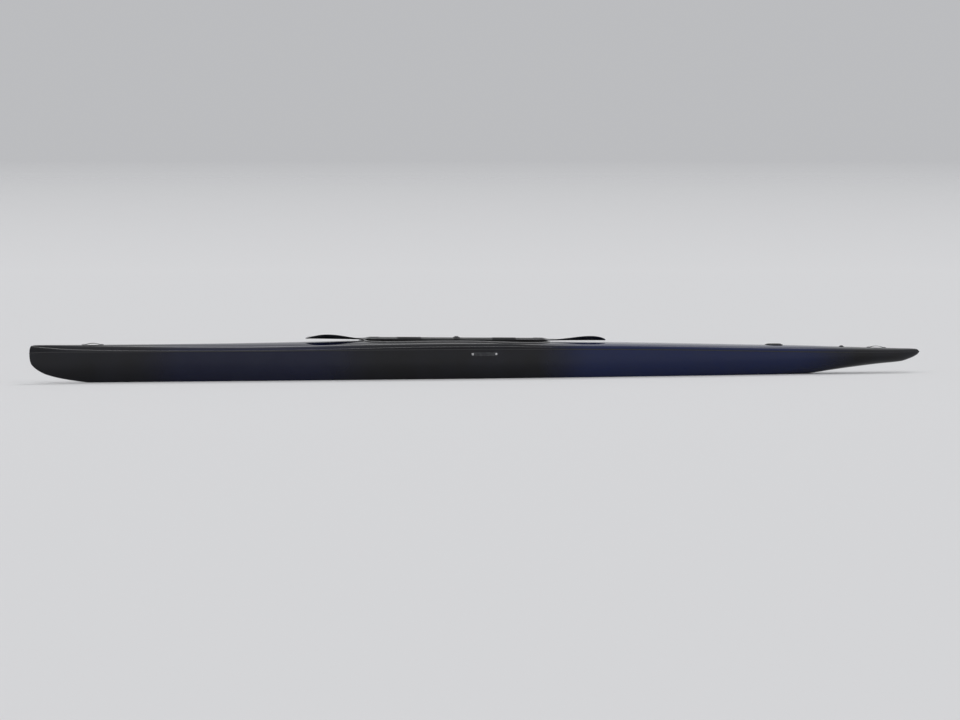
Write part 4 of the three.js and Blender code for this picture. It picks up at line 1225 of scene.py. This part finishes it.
for side, word in SIDES:
    mirror = np.array([1, side, 1])
    t = np.linspace(0, 1, 41)[:, None]
    run = line_tube((CLEAT * (1 - t) + fairlead * t) * mirror)
    line = piece(f"steering_line_{word}", [run], None, thread, sharp=60)
    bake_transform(line)
    body = block((-0.009, -0.0045, -0.006), (0.009, 0.0045, 0.006), 0.0012) + CLEAT * mirror
    piece(f"line_cleat_{word}", [patch(body)], "footboard", plastic)
    tied = line_tube(bent(CLEAT, TIE_BEND, pedal_eye, t) * mirror)
    tie = piece(f"pedal_line_{word}", [tied], None, thread, sharp=60)
    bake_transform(tie)
    grommet = moved(turned(GROMMET, 32), (0, 90 + LEAN, 0), pedal_eye * mirror)
    piece(f"pedal_eye_{word}", [patch(grommet, along=True)], f"pedal_{word}", stainless)
    foot = block((-0.013, -0.0012, -0.005), (0.013, 0.0012, 0.005), 0.0006, 0.003)
    parts = [
        patch(standing(turned(EYE, 24), ALONG_X) + fairlead * mirror, along=True),
        patch(foot + (fairlead + (0, 0.0052, 0)) * mirror),
    ]
    piece(f"line_fairlead_{word}", parts, "boat", plastic)

# %% [markdown]
# ## Hatch lid and drain plug
# A round lid behind the cockpit covers the rudder's stock, and a small plug further aft drains the hull.
# Both are spun profiles. The lid's ribs are one rounded block turned about the axis, and the plug's grip
# is a radius that waves as it goes around.

# %% Hatch lid and drain plug
HATCH_X, PLUG_X = -2.120, -2.620
hatch_level = float(deck(np.array(HATCH_X)))
plug_level = float(deck(np.array(PLUG_X)))
lid_rows = [
    (0, -0.008), (0.0600, -0.008), (0.0618, -0.0070), (0.0620, 0.0030), (0.0612, 0.0044), (0.0595, 0.0050),
    (0.0530, 0.0050), (0.0518, 0.0036), (0.0504, 0.0036), (0.0498, 0.0050), (0.0494, 0.0078),
    (0.0480, 0.0088), (0.0455, 0.0088), (0.0435, 0.0062), (0.0400, 0.0055), (0.0060, 0.0055),
    (0.0050, 0.0066), (0, 0.0068),
]  # fmt: skip


def spokes(grid, count):
    """One grid repeated around the lid's axis."""
    return [patch(moved(grid, (0, 0, 360 / count * k), (HATCH_X, 0, hatch_level))) for k in range(count)]


lid = [patch(turned(lid_rows, 96) + (HATCH_X, 0, hatch_level))]
lid += spokes(block((0.012, -0.0016, 0.0045), (0.039, 0.0016, 0.0078), 0.0008, 0.001), 12)
lid += spokes(block((0.0488, -0.0011, 0.002), (0.0508, 0.0011, 0.0076), 0.0004, 0.0004), 36)
piece("hatch_lid", lid, "boat", plastic, ["rudder_hatch"], sharp=30)

plug_rows = [
    (0, -0.006, 0), (0.0168, -0.006, 0), (0.017, 0.0028, 0), (0.016, 0.004, 0), (0.0105, 0.0042, 0),
    (0.0092, 0.0046, 0.07), (0.009, 0.0072, 0.07), (0.0082, 0.008, 0.07), (0.004, 0.0082, 0),
    (0, 0.0082, 0),
]  # fmt: skip
cap = patch(turned(plug_rows, 72, waves=12) + (PLUG_X, 0, plug_level))
piece("drain_cap", [cap], "boat", plastic, ["drain_plug"])

# %% [markdown]
# ## Rudder
# The fin under the stern is a foil: round in front, thin behind, like a small wing. Its thickness follows
# the classic four-digit wing section, which is a formula in the share of the chord. The chord shortens
# towards the tip, and the whole foil sweeps back. It turns on a steel stock in a bearing, with a collar
# below the hull.

# %% Rudder foil and collar
RUDDER_X, FOIL_TOP, FOIL_DEPTH = -2.120, -0.040, 0.200
CHORD, CHORD_LOSS, FOIL_THICK, FOIL_SWEEP = 0.118, 0.056, 0.013, 0.046


def foil():
    """Half thickness 5 T (0.2969 sqrt(c) - 0.126 c - 0.3516 c^2 + 0.2843 c^3 - 0.1036 c^4), where c is the
    share of the chord and T the foil's thickness."""
    t = np.sin(np.linspace(0, np.pi / 2, 60))[:, None]
    a = full_turn(80)[None]
    c = (1 - np.cos(a)) / 2
    chord = (CHORD - CHORD_LOSS * t) * rounded_off(t, 0.82, 0.181208)
    thick = FOIL_THICK * (1 - 0.55 * t) * rounded_off(t, 0.96, 0.0401)
    section = 0.2969 * np.sqrt(c) - 0.126 * c - 0.3516 * c**2 + 0.2843 * c**3 - 0.1036 * c**4
    y = np.sign(np.sin(a)) * 5 * thick * section
    x = RUDDER_X - 0.008 - FOIL_SWEEP * t**1.5 + chord / 2 - chord * c
    return grid_of(x, y, FOIL_TOP - FOIL_DEPTH * t)


piece("rudder_foil", [patch(foil())], "rudder", carbon_upright, ["rudder_blade"], sharp=50)
collar_level = float(keel(np.array(RUDDER_X)))
BEARING_TOP = 0.096 - collar_level
bearing_rows = [
    (0.0055, BEARING_TOP), (0.0055, -0.0030), (0.0062, -0.0035), (0.0165, -0.0033), (0.0190, -0.0022),
    (0.0200, -0.0006), (0.0200, 0.0060), (0.0130, 0.0060), (0.0130, BEARING_TOP),
]  # fmt: skip
bearing = patch(turned(bearing_rows, 48) + (RUDDER_X, 0, collar_level), along=True)
piece("bearing_collar", [bearing], "boat", plastic, ["rudder_bearing"], sharp=30)

# %% [markdown]
# ## Paddle
# The paddle is a carbon tube in two halves, joined by a lever clamp, with a wing-shaped blade at each
# end. It is laid along the cockpit with its necks on the rim. A blade's section is a flat shell, bent
# across its width and curled along one edge. Near the throat the section swells into the round tube, so
# the section is a blend of a circle and the shell.

# %% Paddle frame
PADDLE_CENTRE, PADDLE_LENGTH, BLADE_LENGTH = 0.190, 2.150, 0.470
BLADE_HALF, BLADE_THICK, BLADE_LIFT, BLADE_HOLLOW, BLADE_CURL = 0.082, 0.003, 0.002, 0.017, 0.014
SHAFT_RADIUS = 0.0145
NECK_RADIUS = SHAFT_RADIUS + 0.0018
NECK_SHARE = 0.11  # the part of the blade over which the neck turns into the shell
SPINE_RISE, SPINE_HALF = 0.0105, 0.0095
THROAT = PADDLE_LENGTH / 2 - BLADE_LENGTH


def blade_thickness(t):
    """Thick at the throat and thin at the tip: thickness * (1 + 1.6 * (1 - t)^2)."""
    return BLADE_THICK * (1 + 1.6 * (1 - t) ** 2)


def neck_rest(end):
    """Where the paddle's middle line lies over one end of the rim, so that its neck rests on the lip."""
    x = end + math.copysign(RIM_OUT, end)
    t = (abs(x - PADDLE_CENTRE) - THROAT) / BLADE_LENGTH
    return x, float(deck(np.array(end))) - RIM_SINK + RIM_TOP + blade_thickness(t) - BLADE_LIFT + 0.0003


(fore_x, fore_z), (aft_x, aft_z) = neck_rest(FORE), neck_rest(AFT)
paddle_slope = math.atan2(fore_z - aft_z, fore_x - aft_x)
paddle_middle = (PADDLE_CENTRE, 0, aft_z + math.tan(paddle_slope) * (PADDLE_CENTRE - aft_x))


def on_paddle(grid, along=False):
    """From the paddle's own frame, with X along the shaft, to its place on the boat."""
    return patch(moved(grid, (0, -math.degrees(paddle_slope), 0), paddle_middle), along=along)


# %% Shaft, grips and clamp
SHAFT_END = THROAT + 0.005
rings = [(SHAFT_RADIUS, x) for x in (-SHAFT_END, *np.linspace(-THROAT, THROAT, 25), SHAFT_END)]
shaft = on_paddle(standing(turned([(0, -SHAFT_END), *rings, (0, SHAFT_END)], 56), ALONG_X))
piece("paddle_tube", [shaft], "paddle", carbon_tube, ["paddle_shaft"])

GRIP_MIDDLE, GRIP_HALF, TAPE_PITCH = 0.34, 0.085, 0.016


def wrapped_grip(middle):
    """Tape wound on the tube: radius = tube + 0.8 mm + 0.5 mm * the share of a turn since the last edge."""
    x, a = np.linspace(-GRIP_HALF, GRIP_HALF, 190)[:, None], full_turn(48)[None]
    wound = np.mod(x / TAPE_PITCH - a / (2 * np.pi), 1)
    step = np.minimum(wound, 12 * (1 - wound))
    end = rounded_off(np.abs(x), GRIP_HALF - 0.002, 0.00201)
    r = SHAFT_RADIUS + 0.0001 + (0.0007 + 0.0005 * step) * end
    return grid_of(middle + x, r * np.cos(a), r * np.sin(a))


grips = [on_paddle(wrapped_grip(s * GRIP_MIDDLE)) for s in (-1, 1)]
piece("paddle_grips", grips, "paddle", rubber, sharp=25)

clamp_rows = [
    (0.0147, -0.023), (0.0168, -0.023), (0.0175, -0.022), (0.0175, -0.004), (0.0170, -0.003),
    (0.0170, 0.003), (0.0175, 0.004), (0.0175, 0.022), (0.0168, 0.023), (0.0147, 0.023),
]  # fmt: skip
clamp_ring = on_paddle(standing(turned(clamp_rows, 56), ALONG_X), along=True)
clamp_base = on_paddle(block((-0.012, -0.0062, 0.0145), (0.012, 0.0062, 0.0195), 0.001))
s = np.linspace(-1, 1, 21)
lever_path = np.stack([0.0135 * s, 0 * s, 0.0198 + 0.0026 * np.cos(1.5 * s)], axis=1)
lever = on_paddle(sweep(lever_path, rounded(0.010, 0.0026, 4, 20)))
pin_rows = [(0, -0.0072), (0.0015, -0.0072), (0.0015, 0.0072), (0, 0.0072)]
pin = on_paddle(standing(turned(pin_rows, 16), ALONG_Y) + (-0.0085, 0, 0.0185))
piece("lever_clamp", [clamp_ring, clamp_base, lever], "paddle", plastic, ["paddle_clamp"])
piece("clamp_pin", [pin], "paddle", stainless)


# %% Blades
def blade_half(t):
    """Half the width: 15 mm at the throat, a quarter sine up to 82 mm at t = 0.72, an ellipse to the tip."""
    grown = 0.015 + (BLADE_HALF - 0.015) * np.sin(np.minimum(t / 0.72, 1) * np.pi / 2) ** 1.5
    return grown * rounded_off(t, 0.72, 0.2802)


def blade(sign):
    """Section at t: v = cos(a) across; the two skins lie at camber(v) + upper or - lower, each a blend of
    the tube's circle, near the throat, and the thin shell, whose edges are rounded by sqrt(1 - v^8)."""
    t = 1 - (1 - np.linspace(0, 1, 120)[:, None]) ** 1.5
    a = full_turn(96)[None]
    v, top = np.cos(a), np.sin(a) >= 0
    width = blade_half(t)
    share = width / BLADE_HALF
    hollow = BLADE_HOLLOW * np.sin(np.minimum(t * 1.4, 1) * np.pi / 2) * share**1.2
    camber = hollow * v**2 + BLADE_CURL * v.clip(0) ** 4 * share**2
    ease = np.clip(t / NECK_SHARE, 0, 1)
    ease = ease**2 * (3 - 2 * ease)
    circle = NECK_RADIUS * np.sqrt(1 - v**2)
    shell = np.sqrt(1 - v**8)
    spine = SPINE_RISE * np.exp(-((v * width / SPINE_HALF) ** 2)) * (1 - t) ** 3
    upper = (1 - ease) * circle + ease * (BLADE_LIFT * shell + spine)
    lower = (1 - ease) * circle + ease * (blade_thickness(t) - BLADE_LIFT) * shell
    y = v * ((1 - ease) * NECK_RADIUS + ease * width)
    x = sign * (THROAT + 0.004 + (BLADE_LENGTH - 0.004) * t)
    return grid_of(x, y, camber * ease + np.where(top, upper, -lower))


def socket(sign):
    """The sleeve that holds the tube: a spun profile with a tapered lip."""
    r = SHAFT_RADIUS
    rows = [(r + 0.0001, -0.054), (r + 0.0008, -0.0542), (r + 0.0014, -0.052), (r + 0.002, -0.046)]
    rows += [(r + 0.002, 0.002), (r + 0.0018, 0.006), (r + 0.0001, 0.006)]
    return standing(turned([(radius, THROAT + h) for radius, h in rows], 56), ALONG_X) * (sign, 1, 1)


for sign, word in ((1, "fore"), (-1, "aft")):
    parts = [on_paddle(blade(sign)), on_paddle(socket(sign), along=True)]
    name, solid = f"wing_blade_{word}", f"paddle_blade_{word}"
    piece(name, parts, "paddle", carbon_flat, [solid], sharp=60)

# %% [markdown]
# ## Floor and light
# The studio is plain: a pale floor at the waterline and soft light. The boat floats, so part of it lies
# below the floor, and the cockpit's floor does too. The floor therefore has a hole with the shape of the
# waterline, just inside the hull, and is drawn as rings from that hole outwards. It fades into the
# backdrop far away. A broad, low sun behind the boat and a weaker one in front light the floor evenly.
# Long panels that only glossy surfaces see draw clean highlights along the shell.

# %% Studio floor
FLOOR_RADII = np.geomspace(3.4, 160, 24)[:, None]
FLOOR_ANGLES = full_turn(360)


def waterline():
    """Where the hull meets z = 0: y = half * (1 - (seam / depth)^n)^(1/n), 2 mm inside the skin."""
    x = np.linspace(-BOW, BOW, 4001)
    wet = x[keel(x) < -0.001]
    x = (wet[-1] + wet[0]) / 2 + (wet[-1] - wet[0]) / 2 * np.cos(FLOOR_ANGLES)
    share = np.clip(seam(x) / (seam(x) - keel(x)), 0, 1)
    y = (half(x) * arch(share, vee(x)) - 0.002).clip(0.0005)
    return x, y * np.sign(np.sin(FLOOR_ANGLES + 1e-6))


def floor_sheet():
    """Rings that start at the waterline and turn into circles: line * (1 - b) + circle * radius * b, with
    b growing from 0 to 1."""
    b = np.linspace(0, 1, len(FLOOR_RADII))[:, None] ** 0.5
    circle = np.cos(FLOOR_ANGLES), np.sin(FLOOR_ANGLES)
    x, y = (line * (1 - b) + far * b * FLOOR_RADII for line, far in zip(waterline(), circle))
    return grid_of(x, y, 0)


floor_finish, tree, shader, place = finish("floor", (0.7, 0.7, 0.705), 0.8, {"Specular IOR Level": 0.1})
distance = node(tree, "VectorMath", {0: place}, operation="LENGTH").outputs["Value"]
veil = node(tree, "BsdfTransparent").outputs["BSDF"]
far = spread(tree, distance, 30.0, 150.0, 0.0, 1.0)
fading = node(tree, "MixShader", {0: far, 1: shader.outputs[0], 2: veil})
feed(tree.nodes["Material Output"], "Surface", fading.outputs[0])
points, quads = patch(floor_sheet(), flip=True)[:2]
floor_mesh = bpy.data.meshes.new("floor")
floor_mesh.from_pydata(points[:-2], [], quads.tolist())  # without the middles of the two end fans
floor_mesh.materials.append(floor_finish)
floor = bpy.data.objects.new("floor", floor_mesh)
scene.collection.objects.link(floor)
floor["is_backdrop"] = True

# %% World and lights
world = bpy.data.worlds.new("studio")
world.use_nodes = True
backdrop = world.node_tree
direction = node(backdrop, "TexCoord").outputs["Generated"]
toward = node(backdrop, "SeparateXYZ", {"Vector": direction}).outputs["Z"]
LOW_SKY, HIGH_SKY = (0.5, 0.505, 0.52), (0.72, 0.725, 0.74)
sky = ramp(backdrop, toward, [(0.0, LOW_SKY), (0.1, LOW_SKY), (0.6, HIGH_SKY)])
feed(backdrop.nodes["Background"], "Color", sky)
backdrop.nodes["Background"].inputs["Strength"].default_value = 1.0
scene.world = world
scene.view_settings.view_transform = "Standard"


def lamp(name, kind, at, strength, **settings):
    """A light at a place, turned towards the boat."""
    light = bpy.data.lights.new(name, kind)
    light.energy = strength
    for key, value in settings.items():
        setattr(light, key, value)
    made = bpy.data.objects.new(name, light)
    made.location = at
    made.rotation_euler = (-Vector(at)).to_track_quat("-Z", "Y").to_euler()
    made.visible_camera = False
    scene.collection.objects.link(made)
    return made


# name, place, strength and, for a sun, its angle in degrees or, for a panel, its two sizes
SUNS = [("low_sun", (-5.0, -7.0, 6.5), 0.9, 25), ("front_sun", (5.0, 6.0, 9.0), 0.35, 50)]
PANELS = [("strip_front", (1.0, 5.0, 4.6), 110, 8.0, 0.7), ("strip_back", (-0.5, -3.2, 5.2), 60, 9.0, 0.9)]
for name, at, strength, angle in SUNS:
    lamp(name, "SUN", at, strength, angle=math.radians(angle)).visible_glossy = False
for name, at, strength, long, wide in PANELS:
    lamp(name, "AREA", at, strength, shape="RECTANGLE", size=long, size_y=wide).visible_diffuse = False

# %% Sizes and finish
low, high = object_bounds()
